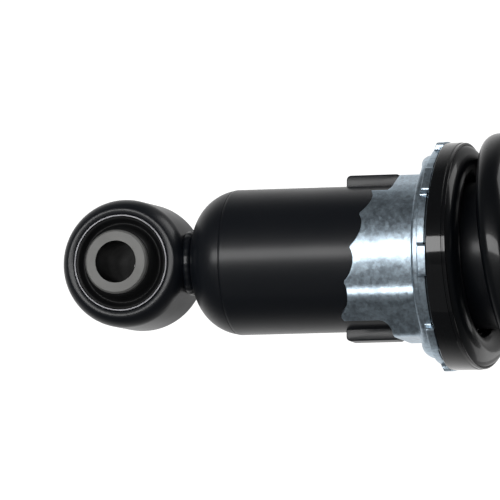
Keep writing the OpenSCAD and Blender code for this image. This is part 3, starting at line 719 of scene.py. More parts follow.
@dataclass(frozen=True)
class Rubber(Finish):
    """Moulded rubber: a waxy bloom over a fine grain.

    Args:
        bloom: How much lighter the bloom is.
        skin: Weight of the glossy skin that a polished mould leaves.
        glint: Specular level under the skin.
    """

    bloom: float = 1.8
    skin: float = 0.0
    glint: float = 0.3

    def paint(self, shade: Shade) -> None:
        """Bloom in soft clouds.

        Args:
            shade: The material's nodes.
        """
        cloud = shade.noise(45, 5, 0.6)
        bloom = shade.spread(cloud, 0.4, 0.75, 0.0, 1.0)
        shade.set(Base_Color=shade.mixed(bloom, self.tint(1.0), self.tint(self.bloom)),
                  Roughness=shade.around(cloud, self.roughness, 0.06, 0.06),
                  Specular_IOR_Level=self.glint, Coat_Weight=self.skin, Coat_Roughness=0.06,
                  Normal=shade.bumped(shade.noise(1500, 4, 0.6), 5e-6 + 1.2e-5 * (1 - self.skin)))


@dataclass(frozen=True)
class Foam(Finish):
    """Microcellular urethane: pale, dry and finely pitted."""

    def paint(self, shade: Shade) -> None:
        """Closed cells that show as tiny pits.

        Args:
            shade: The material's nodes.
        """
        cells = shade.add("TexVoronoi", {"Vector": shade.place, "Scale": 1500.0}).outputs["Distance"]
        shade.set(Base_Color=shade.mixed(shade.noise(50, 4, 0.6), self.tint(0.8), self.tint(1.1)),
                  Roughness=self.roughness, Normal=shade.bumped(cells, 4e-5))


BLACK = Enamel("black_paint", (0.0026, 0.0038, 0.0062), 0.42, gloss=0.24)
COIL_BLACK = Enamel("spring_paint", (0.0010, 0.0016, 0.0026), 0.3, peel=8e-6, gloss=0.08)
ZINC = Spangle("zinc_plate", (0.66, 0.80, 0.93), 0.27, 1.0)
BARE = Turned("bare_steel", (0.56, 0.57, 0.58), 0.26, 1.0)
SHELL = Turned("bare_steel", (0.19, 0.19, 0.20), 0.42, 1.0, axis=Axis.BOLT)
# The sleeve's bore is painted near black inside 7.4 mm, as painted shade in the hole.
SLEEVE = Turned("sleeve_steel", (0.19, 0.19, 0.185), 0.52, 0.6, axis=Axis.BOLT, rings=3200.0,
                depth=1.2e-5, bore=0.0074)
CHROME = Turned("hard_chrome", (0.72, 0.73, 0.75), 0.06, 1.0, depth=4e-7)
SINTER = Finish("sintered_iron", (0.20, 0.19, 0.17), 0.55, 0.8)
SHIM = Turned("valve_steel", (0.50, 0.52, 0.56), 0.22, 1.0)
BRONZE = Turned("bearing_bronze", (0.60, 0.42, 0.19), 0.32, 1.0)
BAND = Finish("band_polymer", (0.16, 0.11, 0.06), 0.5)
BUSH = Rubber("bush_rubber", (0.0042, 0.0044, 0.0048), 0.5, bloom=1.7)
PAD = Rubber("pad_rubber", (0.0018, 0.0021, 0.0026), 0.3, bloom=1.3, skin=1.0, glint=0.05)
SEAL = Rubber("seal_rubber", (0.03, 0.034, 0.04), 0.4)
FOAM = Foam("stop_urethane", (0.60, 0.48, 0.24), 0.72)
BOOT = Rubber("boot_plastic", (0.009, 0.009, 0.0095), 0.4, bloom=1.4, skin=0.25)
YELLOW = Turned("yellow_zinc", (0.66, 0.54, 0.24), 0.28, 1.0)
STUD = Turned("stud_zinc", (0.62, 0.64, 0.67), 0.27, 1.0)


def coat(made: bpy.types.Object, finish: Finish) -> None:
    """Gives an object its one material and its slot.

    Args:
        made: The piece or the CAD node.
        finish: Its finish.
    """
    made.data.materials.clear()
    made.data.materials.append(finish.material())
    LOG.info("%s: %d faces, %s", made.name, len(made.data.polygons), finish.slot)


def dress(made: bpy.types.Object, finish: Finish, body: Body, *nodes: str) -> bpy.types.Object:
    """Gives a piece its finish and its body.

    Args:
        made: The piece.
        finish: Its finish.
        body: The body that it rides on.
        nodes: CAD nodes that it stands for.

    Returns:
        The piece.
    """
    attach(made, body.value)
    coat(made, finish)
    if nodes:
        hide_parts(*nodes)
    return made


# ------------------------------------------------------------------------------ sub-assemblies


@dataclass
class LowerEye:
    """Eye ring, its weld and the rubber bush."""

    ring_r: float = 22.5
    ring_half: float = 17.0
    ring_chamfer: float = 0.35
    face_r: float = 19.3
    face_ease: float = 2.2
    shoulder_r: float = 8.0
    shell_r: float = 17.0
    shell_wall: float = 1.6
    shell_half: float = 17.2
    collar_half: float = 20.3
    sleeve_r: float = 11.2
    sleeve_half: float = 23.0
    bore_r: float = 7.1
    bore_chamfer: float = 0.3
    sleeve_chamfer: float = 0.6
    cup_bottom: float = 23.5
    weld_w: float = 18.0
    weld_l: float = 26.0
    ripple: float = 2.3

    @property
    def shoulder(self) -> Point:
        """How far the shoulder's round drops to the flat, and how far along it runs."""
        rise = self.shoulder_r - (self.ring_r - self.face_r)
        return rise, sqrt(self.shoulder_r ** 2 - rise ** 2)

    def ring(self) -> bpy.types.Object:
        """The eye ring, with shoulders rolled down to a narrow flat.

        Returns:
            The piece.
        """
        (rise, run), bore, half, c = self.shoulder, self.shell_r, self.ring_half, self.ring_chamfer
        side = arc(self.ring_r - self.shoulder_r, half - run, self.shoulder_r,
                   degrees(acos(rise / self.shoulder_r)), 0, 20)
        corner = eased([(bore, half), (self.face_r, half), side[4], (bore, 0.0)], {1: self.face_ease}, 8)
        front = [(bore, half - c), (bore + c, half), *corner[1:10], *side[5:]]
        return piece("eye_ring_forged", turned(mirrored(front), Axis.BOLT, 256), 50)

    def shell(self) -> bpy.types.Object:
        """The bush's outer shell, whose end shows as a bright line.

        Returns:
            The piece.
        """
        end = inset(self.shell_r, self.shell_half, (self.shell_wall, 1.9), (0.7, 0.5), (0.62, 0.08),
                    (0.54, 0), (0.14, 0), (0, 0.14))
        return piece("bush_shell_ring", turned(mirrored(end), Axis.BOLT, 256))

    def rubber(self) -> bpy.types.Object:
        """The bush's rubber: a lip on the shell, a hollow, and a collar run out on the sleeve.

        Returns:
            The piece.
        """
        inner, half, high = self.sleeve_r + 0.03, self.shell_half, self.collar_half
        face = inset(self.shell_r, half, (self.shell_wall, 1.95), (0.72, 0.55), (0.77, 0.3), (1.22, 0.45))
        lip, top = face[-1]
        low, steps = half - 2.5, 24
        for s in (k / steps for k in range(1, steps + 1)):
            hollow, collar = smooth(s / 0.45), smooth((s - 0.3) / 0.7) ** 2
            face.append((lip + (inner + 0.1 - lip) * s, top + (low - top) * hollow + (high - low) * collar))
        face.append((inner, high + 0.05))
        return piece("bush_rubber_moulded", turned(mirrored(face), Axis.BOLT), 70)

    def sleeve(self) -> bpy.types.Object:
        """The inner sleeve with its faced and chamfered ends.

        Returns:
            The piece.
        """
        half, b, c = self.sleeve_half, self.bore_chamfer, self.sleeve_chamfer
        end = [(self.bore_r, half - b), (self.bore_r + b, half), (self.sleeve_r - c, half),
               (self.sleeve_r, half - c)]
        return piece("bush_sleeve_machined", turned(mirrored(end), Axis.BOLT), 20)

    def crown_z(self, x: float, y: float) -> float:
        """The ring's crown under the weld.

        Args:
            x: Distance across the strut.
            y: Distance along the bolt.

        Returns:
            The crown's height there.
        """
        past = max(0.0, abs(y) - (self.ring_half - self.shoulder[1]))
        r = self.ring_r - self.shoulder_r + sqrt(max(self.shoulder_r ** 2 - past ** 2, 0.0))
        return sqrt(max(r * r - x * x, 0.0))

    def pad(self) -> bpy.types.Object:
        """The weld's body, between the ring's crown and the cup.

        Returns:
            The piece.
        """
        r, straight, levels = self.weld_w / 2, (self.weld_l - self.weld_w) / 2, 5
        outline = arc(0, straight, r, 0, 180, 40) + arc(0, -straight, r, 180, 360, 40)
        points: list[Place] = []
        for s in (k / (levels - 1) for k in range(levels)):
            for x, y in outline:
                low = self.crown_z(x, y) - 0.4
                points.append((x, y, low + (self.cup_bottom - 0.02 - low) * s))
        return piece("eye_weld_pad", (points, ring_faces(levels, len(outline), closed=False)), 60)

    def bead(self, wire: Recipe) -> bpy.types.Object:
        """The rippled bead that runs round the weld.

        Args:
            wire: The recipe that runs a round section along a path.

        Returns:
            The piece.
        """
        path, girths, count = [], [], 260
        lap = pi * self.weld_w + 2 * (self.weld_l - self.weld_w)
        for d in (lap * i / count for i in range(count)):
            x, y = self.lap_point(d)
            low, high = self.crown_z(x, y), self.cup_bottom
            path.append((x * 1.01, y * 1.01, (low + high) / 2 + 0.1))
            girths.append(((high - low) / 2 + 0.75) * (1 + 0.03 * sin(d * 2 * pi / self.ripple)))
        return wire.bake(path_object(path, girths, closed=True), "eye_weld_bead", BLACK.material(),
                         Radius=MM, Sides=20)

    def lap_point(self, d: float) -> Point:
        """A point on the weld's outline.

        Args:
            d: Distance from the outline's start.

        Returns:
            The point.
        """
        r, straight = self.weld_w / 2, self.weld_l - self.weld_w
        side = -1 if d >= pi * r + straight else 1
        d -= 0 if side > 0 else pi * r + straight
        if d < pi * r:
            return side * r * cos(d / r), side * (straight / 2 + r * sin(d / r))
        return -side * r, side * (straight / 2 - (d - pi * r))

    def build(self, wire: Recipe) -> None:
        """Builds and dresses the lower eye.

        Args:
            wire: The recipe that runs a round section along a path.
        """
        dress(self.ring(), BLACK, Body.STRUT, "eye_ring")
        dress(self.shell(), SHELL, Body.STRUT, "bush_outer_shell")
        dress(self.rubber(), BUSH, Body.STRUT, "bush_rubber")
        dress(self.sleeve(), SLEEVE, Body.SLEEVE, "bush_inner_sleeve")
        dress(self.pad(), BLACK, Body.STRUT, "eye_weld")
        dress(self.bead(wire), BLACK, Body.STRUT)


@dataclass
class Tube:
    """Reserve tube, base cup, lugs and end cap."""

    r: float = 25.5
    wall: float = 2.0
    cup_bottom: float = 23.5
    cup_corner: float = 17.0
    cup_wall: float = 2.4
    joint: float = 37.8
    top: float = 300.0
    cap_top: float = 302.5
    cap_bore: float = 9.5
    roll: float = 3.0
    lug_low: float = 78.5
    lug_high: float = 98.0
    lug_reach: float = 3.6
    lug_corner: float = 1.6
    lug_w: float = 8.0
    clock: float = -2.5

    def cup(self) -> bpy.types.Object:
        """The pressed cup that closes the tube.

        Returns:
            The piece.
        """
        corner, low = self.cup_corner, self.cup_bottom
        x, z = self.r - corner, low + corner
        end = degrees(asin((self.joint - z) / corner))
        profile = [(0.0, low), *arc(x, z, corner, -90, end, 32), (self.r - self.wall, self.joint),
                   *arc(x, z, corner - self.cup_wall, end, -90, 16), (0.0, low + self.cup_wall)]
        return piece("base_cup_pressed", turned(profile), 40)

    def tube(self) -> bpy.types.Object:
        """The tube, with a shallow roll mark by the cup and its top edge rolled in.

        Returns:
            The piece.
        """
        inner, seal = self.r - self.wall, self.top - self.wall
        profile = [(inner, self.joint), (self.r - 0.4, self.joint), (self.r - 0.12, self.joint + 0.3),
                   (self.r, self.joint + 1.1),
                   *arc(self.r - self.roll, self.top - self.roll, self.roll, 0, 90, 10),
                   (inner - 6, self.top), (inner - 6, seal), (inner, seal)]
        return piece("reserve_tube_drawn", turned(profile, segments=256), 40)

    def end_cap(self) -> bpy.types.Object:
        """The cap that the bump stop meets.

        Returns:
            The piece.
        """
        inner, low, bore, top = self.r + 0.05, self.top - 9, self.cap_bore, self.cap_top
        outer = inner + 1.4
        profile = [(inner, low), (outer - 0.3, low), (outer, low + 0.3),
                   *arc(outer - self.roll, top - self.roll, self.roll, 0, 90, 10),
                   (bore + 0.4, top), (bore, top - 0.4), (bore, self.top), (inner, self.top)]
        return piece("tube_end_cap_pressed", turned(profile), 40)

    def lugs(self) -> bpy.types.Object:
        """Two ribs on the tube, with rounded outer corners, sunk into its wall.

        Returns:
            The piece.
        """
        root, c, half = self.r - 1.2, self.lug_corner, self.lug_w / 2
        x = self.r + self.lug_reach - c
        face = [(root, self.lug_low), *arc(x, self.lug_low + c, c, -90, 0, 8),
                *arc(x, self.lug_high - c, c, 0, 90, 8), (root, self.lug_high)]
        solids = []
        for a in (radians(self.clock + turn) for turn in (0.0, 180.0)):
            points = [(r * cos(a) - y * sin(a), r * sin(a) + y * cos(a), z)
                      for y in (-half, half) for r, z in face]
            solids.append((points, ring_faces(2, len(face), closed=False)))
        return broken(piece("perch_lugs_welded", joined(solids)), 0.5, 3)

    def build(self) -> None:
        """Builds and dresses the tube's outer pieces."""
        dress(self.cup(), BLACK, Body.STRUT, "base_cup")
        dress(self.tube(), BLACK, Body.STRUT, "reserve_tube")
        dress(self.end_cap(), BLACK, Body.STRUT, "tube_end_cap")
        dress(self.lugs(), BLACK, Body.STRUT, "perch_lugs")


@dataclass
class Perch:
    """The pressed spring perch: a scalloped sleeve with two ears under a tabbed dish.

    An angle that a method takes runs from the middle of the sharper ear, in radians.
    """

    clock: float = -2.5
    tab_clock: float = 8.0
    tube_gap_r: float = 25.6
    sheet: float = 2.1
    ear_r: float = 28.9
    ear_half: float = 13.0
    round_ear_half: float = 4.0
    crease_x: float = 16.2
    crease_y: float = 24.8
    press_blend: float = 5.0
    slot_half: float = 18.0
    slot_corner: float = 4.0
    slot_top: float = 98.0
    slot_steps: tuple[float, ...] = (17.8, 17.3, 16.5, 15.5)
    dish_z: float = 106.6
    dish_lift: float = 3.0
    dish_r: float = 35.5
    dish_corner: float = 3.2
    dish_fillet: float = 2.2
    mouth: Point = (33.4, 110.7)
    floor_r: float = 33.0
    flat_r: float = 30.0
    wall_top: float = 111.1
    flange_r: float = 37.6
    flange_lean: float = 0.28
    flange_top: float = 114.1
    flange_lift: float = 1.0
    throat_r: float = 34.3
    throat_z: float = 111.4
    tab_r: float = 40.0
    tab_low: float = 112.6
    tab_top: float = 115.2
    tab_lip: float = 1.3
    tab_half: float = 5.3
    tab_corner: float = 0.9
    tabs: int = 8
    skirt_z: float = 85.5
    tilt: float = 12.3
    scallops: int = 14
    depth: float = 2.5
    scallop_clock: float = -80.0

    def sleeve_r(self, a: float) -> float:
        """The sleeve's outside before its corners are rounded.

        Args:
            a: The angle.

        Returns:
            The radius there.
        """
        x, y, sharp_ear = abs(cos(a)), abs(sin(a)), cos(a) > 0
        best = self.tube_gap_r + self.sheet
        half = self.ear_half if sharp_ear else self.round_ear_half
        corners = [(self.ear_r, 0.0), (self.ear_r, half)]
        if sharp_ear:
            corners += [(self.crease_x, self.crease_y), (0.0, self.crease_y)]
        else:
            touch = atan2(half, self.ear_r) + acos(best / hypot(self.ear_r, half))
            corners.append((best * cos(touch), best * sin(touch)))
        for (x0, y0), (x1, y1) in zip(corners, corners[1:]):
            dx, dy = x1 - x0, y1 - y0
            cross = x * dy - y * dx
            if abs(cross) < 1e-9:
                continue
            if -1e-6 <= (x0 * y - y0 * x) / cross <= 1 + 1e-6:
                best = max(best, (x0 * dy - y0 * dx) / cross)
        return best

    def smooth_r(self, a: float) -> float:
        """The sleeve's outside, with its corners rounded as a press leaves them.

        Args:
            a: The angle.

        Returns:
            The radius there.
        """
        blend, n = radians(self.press_blend), 10
        weights = {k: 1 - abs(k) / (n + 1) for k in range(-n, n + 1)}
        total = sum(w * self.sleeve_r(a + blend * k / n) for k, w in weights.items())
        return total / sum(weights.values())

    def skirt_edge(self, a: float, r: float) -> float:
        """The skirt's tilted, scalloped edge.

        Args:
            a: The angle.
            r: The sleeve's radius there.

        Returns:
            The edge's height.
        """
        chord = 2 * pi * (self.tube_gap_r + self.sheet) / self.scallops
        bite = (chord * chord / 4 + self.depth ** 2) / (2 * self.depth)
        best = 0.0
        for i in range(self.scallops):
            off = wrapped(a - radians(self.scallop_clock + i * 360 / self.scallops))
            s = r * sin(off)
            if abs(off) <= 0.6 and abs(s) < bite:
                best = max(best, self.depth - bite + sqrt(bite * bite - s * s))
        t = radians(self.tilt)
        blunt = 0.35 * (1 - smooth(best / 0.5))
        return self.skirt_z + (best + blunt - r * cos(a) * sin(t)) / cos(t)

    def slot_edge(self, y: float) -> float:
        """Height of a slot's closed end.

        Args:
            y: Distance from the slot's middle.

        Returns:
            The height there.
        """
        c = self.slot_corner
        over = min(max(0.0, abs(y) - (self.slot_half - c)), c)
        return self.slot_top - (c - sqrt(c * c - over * over))

    def raised(self, a: float) -> float:
        """0 over the ears, 1 between them, where the press draws the dish shallower."""
        return smooth((degrees(asin(min(1.0, abs(sin(a))))) - 8) / 30)

    def floor_z(self, a: float) -> float:
        """Height of the dish's floor, inside, at an angle."""
        return self.dish_z + self.dish_lift * self.raised(a) + self.sheet

    def reach(self, a: float) -> Point:
        """How far the flange runs, and a tab.

        Args:
            a: The angle.

        Returns:
            The flange's radius there, and the tab's.
        """
        step, c = 2 * pi / self.tabs, self.tab_corner
        off = (a - radians(self.tab_clock) + pi / 2 + step / 2) % step - step / 2
        w = abs(off) * self.flange_r
        over = min(max(0.0, w - (self.tab_half - c)), c)
        under = max(0.0, c - max(0.0, w - self.tab_half))
        return self.flange_r + c - sqrt(c * c - under * under), self.tab_r - (c - sqrt(c * c - over * over))

    def slot_angle(self, y: float) -> float:
        """Where the sleeve's outside is a distance y from the slot's middle.

        Args:
            y: The distance.

        Returns:
            The angle, in the first quarter.
        """
        low, high = 0.0, radians(80)
        for _ in range(50):
            mid = (low + high) / 2
            low, high = (mid, high) if self.smooth_r(mid) * sin(mid) < y else (low, mid)
        return (low + high) / 2

    def columns(self) -> list[tuple[float, bool, bool]]:
        """Angles of the mesh's columns, closer together at slot and tab edges.

        Returns:
            Angles, each with whether it has skirt under it and whether it is in a tab; an edge
            of a slot or a tab has two columns, one of each kind.
        """
        sides, ears, full = (-1, 1), (0.0, pi), 2 * pi
        step, half = full / self.tabs, self.tab_half / self.flange_r
        first = radians(self.tab_clock) - pi / 2
        side = self.slot_angle(self.slot_half)
        slots = [(ear + way * side) % full for ear in ears for way in sides]
        tabs = [(first + i * step + way * half) % full for i in range(self.tabs) for way in sides]
        angles = [radians(i * 0.75) for i in range(480)]
        angles += [(edge + k * 0.3 / self.flange_r) % full for edge in tabs for k in (-3, -2, -1, 1, 2, 3)]
        for y in self.slot_steps:
            angles += [(ear + way * self.slot_angle(y)) % full for ear in ears for way in sides]
        exact, near = slots + tabs, radians(0.2)
        angles = sorted(a for a in angles if all(abs(wrapped(a - e)) > near for e in exact))
        kept = [a for i, a in enumerate(angles) if i == 0 or a - angles[i - 1] > near / 2]
        made: list[tuple[float, bool, bool]] = []
        for a in sorted(kept + exact):
            off = (a - first + step / 2) % step - step / 2
            skirt, in_tab = self.has_skirt(a, side), abs(off) < half - 1e-7
            if a in tabs:
                made += [(a, skirt, off >= 0), (a, skirt, off < 0)]
            elif a in slots:
                before = self.has_skirt(a - 1e-4, side)
                made += [(a, before, in_tab), (a, not before, in_tab)]
            else:
                made.append((a, skirt, in_tab))
        return made

    @staticmethod
    def has_skirt(a: float, side: float) -> bool:
        """Whether the angle a lies outside both slots, which reach to the angle side."""
        return asin(min(1.0, abs(sin(a)))) > side

    def loop(self, a: float, skirt: bool, in_tab: bool) -> list[Point]:
        """The sheet's closed section.

        Args:
            a: The angle.
            skirt: Whether the sleeve runs down past the slots' tops there.
            in_tab: Whether a tab carries the flange on there.

        Returns:
            Corners as (radius, height), always as many.
        """
        r, up, rows = self.smooth_r(a), self.raised(a), 10
        y, mid, inner_r = r * sin(a), r - self.sheet / 2, r - self.sheet
        base = self.slot_top - self.slot_corner
        band_low = base if abs(y) >= self.slot_half - 1e-3 else self.slot_edge(y)
        edge = self.skirt_edge(a, r)
        heights = [edge + (base - edge) * k / rows for k in range(rows)]
        below = [(r, z) if skirt else (mid + 0.03 * k, band_low) for k, z in enumerate(heights)]
        inside = [(inner_r, z) if skirt else (mid - 0.03 * k, band_low) for k, z in enumerate(heights)]

        low, lift = self.dish_z + self.dish_lift * up, self.flange_lift * up
        corner = self.dish_corner - 1.5 * up
        fillet = max(0.4, min(self.dish_fillet, self.dish_r - corner - r))
        start, end = r + fillet, self.dish_r - corner
        out = [(r, band_low + (low - fillet - band_low) * k / 8) for k in range(8)]
        for turn in (radians(15 * k) for k in range(7)):
            out.append((r + fillet * (1 - cos(turn)), low - fillet + fillet * sin(turn)))
        out += [(start + (max(end, start) - start) * k / 3 + 0.004 * k, low) for k in (1, 2)]
        out += [(max(x, start + 0.01), z) for x, z in arc(end, low + corner, corner, -84, 0, 8)]

        wall, (flange, tab) = self.wall_top + lift, self.reach(a)
        bend = self.dish_r + 0.6
        out += [(self.dish_r, wall - 0.3), (self.dish_r + 0.15, wall + 0.1)]
        out += [(x, wall + 0.05 + (x - self.dish_r) * self.flange_lean)
                for x in (bend, (bend + flange) / 2, flange)]
        rim, throat, bottom = self.flange_top + lift, self.throat_z + lift, out[-1][1]
        if in_tab:
            foot, tip, lip = self.tab_low + lift, self.tab_top + lift, tab - self.tab_lip
            out += [(flange + (tab - flange) * 0.5, bottom + (foot - bottom) * 0.5), (tab, foot),
                    (tab, foot + 0.9), (tab, tip - 0.9), (tab, tip), (lip, tip), (lip - 0.3, tip - 0.4)]
        else:
            out += [(flange, (bottom + rim) / 2 + 0.04 * (k - 3)) for k in range(7)]
        out += [(flange, rim), ((flange + self.throat_r) / 2, (rim + throat) / 2), (self.throat_r, throat),
                (self.throat_r - 0.6, throat - 0.35)]

        floor, gap, (mouth_r, mouth_z) = self.floor_z(a), self.tube_gap_r, self.mouth
        out += [(mouth_r, max(mouth_z + lift, floor + 0.1)), (self.floor_r, floor + 0.02),
                (self.flat_r, floor), (gap + 0.5, floor), (gap, floor - 0.5), (gap, low + 0.3),
                (inner_r, low - 0.4)]
        out += [(inner_r, low - 0.5 + (band_low - low + 0.5) * k / 5) for k in range(1, 6)]
        return below + out + inside[::-1]

    def build(self) -> None:
        """Builds and dresses the perch."""
        sections = [(a + radians(self.clock), self.loop(a, skirt, in_tab))
                    for a, skirt, in_tab in self.columns()]
        made = broken(piece("spring_perch_pressed", swept(sections), 38), 0.22, 2, 50)
        dress(made, ZINC, Body.STRUT, "spring_perch")


@dataclass
class Spring:
    """The coil spring and the rubber seat that it lies in.

    A method's u is a number of turns from the wire's lower tip.
    """

    wire_r: float = 6.0
    seat_coil_r: float = 33.2
    body_coil_r: float = 43.7
    low_z: float = 119.4
    high_z: float = 433.25
    turns: float = 8.75
    end_rise: float = 12.7
    tip_angle: float = 155.0
    widen_from: float = 0.47
    widen_to: float = 2.15
    hug: float = 0.68
    spread: float = 0.85
    pad_in_r: float = 27.2
    pad_gap: float = 0.12
    rim_t: float = 0.4
    lip: float = 2.6
    bed_r: float = 32.8
    wall_foot: Point = (33.1, 111.0)
    throat: Point = (34.3, 111.6)
    flare: Point = (38.3, 114.9)
    fixed_end: float = 113.4
    perch: Perch = field(default_factory=Perch)

    @property
    def pitch(self) -> float:
        """Rise per turn of the body coils."""
        high = self.high_z - self.low_z
        return self.end_rise * (self.turns - sqrt(self.turns ** 2 - 2 * high / self.end_rise))

    def climb(self, u: float) -> float:
        """Height gained u turns from a tip.

        Args:
            u: Turns from either tip.

        Returns:
            The height.
        """
        ramp = self.pitch / (2 * self.end_rise)
        if u < ramp:
            return self.end_rise * u * u
        return self.pitch * u - self.end_rise * ramp * ramp

    def z(self, u: float) -> float:
        """Height of the wire's centre."""
        return self.low_z + self.climb(u) if u < self.turns / 2 else self.high_z - self.climb(self.turns - u)

    def r(self, u: float) -> float:
        """Radius of the wire's centre."""
        share = smooth((u - self.widen_from) / (self.widen_to - self.widen_from))
        return self.seat_coil_r + (self.body_coil_r - self.seat_coil_r) * share

    def coil(self, wire: Recipe) -> bpy.types.Object:
        """The wire, with its cut ends' edges broken.

        Args:
            wire: The recipe that runs a round section along a path.

        Returns:
            The coil.
        """
        steps, tips = 96, (0.0, 0.0016, 0.004)
        stations = [*tips, *(i / steps for i in range(1, int(self.turns * steps)))]
        stations += [self.turns - tip for tip in reversed(tips)]
        ends = [0.93, 0.985, 1.0]
        girths = [*ends, *[1.0] * (len(stations) - 6), *reversed(ends)]
        path = []
        for u in stations:
            a = radians(self.tip_angle + 360 * u)
            path.append((self.r(u) * cos(a), self.r(u) * sin(a), self.z(u)))
        return wire.bake(path_object(path, girths, closed=False), "coil_spring_wound", COIL_BLACK.material(),
                         Radius=self.wire_r * MM, Sides=40)

    def pad_section(self, u: float, a: float) -> list[Point]:
        """The lower seat's section.

        Args:
            u: Turns from the tip.
            a: The perch's angle there, in radians.

        Returns:
            Corners as (radius, height), counter-clockwise.
        """
        gz, gr = self.z(min(u, self.hug)), self.r(min(u, self.spread))
        lift = self.perch.flange_lift * self.perch.raised(a)
        g, inner = self.wire_r + self.pad_gap, self.pad_in_r
        rim, lip = gr + self.wire_r + self.rim_t, gz + self.lip
        low, flat = self.perch.floor_z(a) + self.pad_gap, self.perch.tab_top + lift + 0.1
        (foot_r, foot_z), (throat_r, throat_z), (flare_r, flare_z) = self.wall_foot, self.throat, self.flare
        corners = [(inner, low), (self.bed_r, low), (foot_r, max(foot_z + lift, low + 0.1)),
                   (throat_r, throat_z + lift), (flare_r, flare_z + lift), (rim - 0.9, flat), (rim, flat),
                   (rim, gz + 1.1),
                   (rim - 0.25, gz + 1.25), (rim - 0.25, gz + 1.6), (rim - 0.13, gz + 1.72),
                   (rim - 0.13, lip), (gr + g * cos(radians(24)), lip)]
        radii = (0.4, 0.2, 0.1, 0.4, 0.3, 0.2, 0.7, 0.12, 0.08, 0.08, 0.08, 0.3, 0.12)
        step = gz - g / 2
        return [*eased(corners, dict(enumerate(radii))), *arc(gr, gz, g, 23, -150, 28),
                (inner + 0.6, step + 0.1), (inner, step - 0.5)]

    def pad(self) -> bpy.types.Object:
        """The lower seat: a groove that climbs with the wire, and the step that stops its tip.

        Returns:
            The piece.
        """
        count, sections = 144, []
        for u in [*(i / count for i in range(count)), 0.9935]:
            a = radians(self.tip_angle + 360 * u)
            sections.append((a, self.pad_section(u, a - radians(self.perch.clock))))
        return piece("lower_isolator_moulded", swept(sections), 48)

    def build(self, wire: Recipe) -> None:
        """Builds and dresses the spring and its lower seat, and gives the coil a mesh of its own.

        Args:
            wire: The recipe that runs a round section along a path.
        """
        coil = dress(self.coil(wire), COIL_BLACK, Body.STRUT, "coil_spring")
        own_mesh(coil)
        dress(self.pad(), PAD, Body.STRUT, "lower_isolator")


INSIDE: dict[str, Finish] = {
    "pressure_tube": BARE, "base_valve_body": SINTER, "base_valve_discs": SHIM, "base_valve_pin": BARE,
    "piston": SINTER, "piston_band": BAND, "compression_discs": SHIM, "rebound_discs": SHIM,
    "piston_nut": BARE, "rebound_collar": BARE, "rebound_bumper": SEAL, "rod_guide": SINTER,
    "guide_bush": BRONZE, "oil_seal": SEAL, "piston_rod": CHROME,
}


@dataclass
class Damper:
    """The rod and what works inside the tube: CAD nodes that already have their right shape."""

    inner: dict[str, Finish] = field(default_factory=lambda: dict(INSIDE))

    def build(self) -> None:
        """Gives the nodes their finishes."""
        for node, finish in self.inner.items():
            coat(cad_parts[node], finish)


@dataclass
class Boot:
    """Dust boot and bump stop."""

    root_r: float = 29.55
    out_r: float = 34.5
    wall: float = 1.2
    low: float = 288.0
    cuff: float = 6.0
    top: float = 420.8
    folds: int = 14
    neck_r: float = 33.0
    held_r: float = 35.9
    seat_z: float = 442.8
    stop_low: float = 384.8
    shoulder: float = 434.8
    stop_r: float = 20.0
    stop_bore: float = 7.5
    bellies: int = 3
    belly: float = 4.5
    stop_cup: float = 12.0
    cup_bore: float = 6.0

    def boot(self) -> bpy.types.Object:
        """A folded tube with rounded crests and roots, held at its top.

        Returns:
            The piece.
        """
        root, neck, top = self.root_r, self.neck_r, self.top + self.cuff
        start, steps = self.low + self.cuff, 12
        height = (self.top - start) / self.folds
        side: list[Point] = [(root + 0.5, self.low), (root + 0.55, self.low + 1.2), (root, self.low + 1.8)]
        for k in range(self.folds):
            for s in (i / steps for i in range(steps)):
                side.append((root + (self.out_r - root) * abs(sin(pi * s)) ** 0.8, start + (k + s) * height))
        side += [(root, self.top), (neck - 0.4, top - 0.6), (neck, top), (neck, self.seat_z - 0.5),
                 (self.held_r, self.seat_z + 1), (self.held_r, self.seat_z + 3)]
        inner = [(r - self.wall, z) for r, z in reversed(side)]
        return piece("dust_boot_folded", turned(side + inner), 65)

    def stop(self) -> bpy.types.Object:
        """Bellies of urethane that narrow towards the tube.

        Returns:
            The piece.
        """
        low, bore, steps = self.stop_low, self.stop_bore, 16
        tall = (self.shoulder - low - self.stop_cup) / self.bellies
        side: list[Point] = []
        for k in range(self.bellies):
            r = self.stop_r - 3 - 2 * (self.bellies - 1 - k) - self.belly
            side += [(r + self.belly * sin(pi * i / steps), low + (k + i / steps) * tall)
                     for i in range(1 if k else 0, steps + 1)]
        top = low + self.bellies * tall
        side += [(self.stop_r - 0.6, top + 0.6), (self.stop_r, top + 1.4), (self.stop_r, self.shoulder),
                 (bore, self.shoulder), (bore, low + 0.6), (bore + 0.6, low)]
        return piece("bump_stop_moulded", turned(side), 60)

    def cup(self) -> bpy.types.Object:
        """The steel cup over the bump stop.

        Returns:
            The piece.
        """
        inner, bore, top = self.stop_r + 0.2, self.cup_bore, self.shoulder + 2.5
        outer, low = inner + 2, self.shoulder - 10
        profile = [(inner, low), (outer, low), *arc(outer - 2, top - 2, 2, 0, 90, 8), (bore, top),
                   (bore, self.shoulder), (inner, self.shoulder)]
        return piece("bump_stop_cup_pressed", turned(eased(profile, {0: 0.3, 1: 0.4})), 40)

    def build(self) -> None:
        """Builds and dresses the boot and the bump stop."""
        dress(self.boot(), BOOT, Body.MOUNT, "dust_boot")
        dress(self.stop(), FOAM, Body.MOUNT, "bump_stop")
        dress(self.cup(), BLACK, Body.MOUNT, "bump_stop_cup")


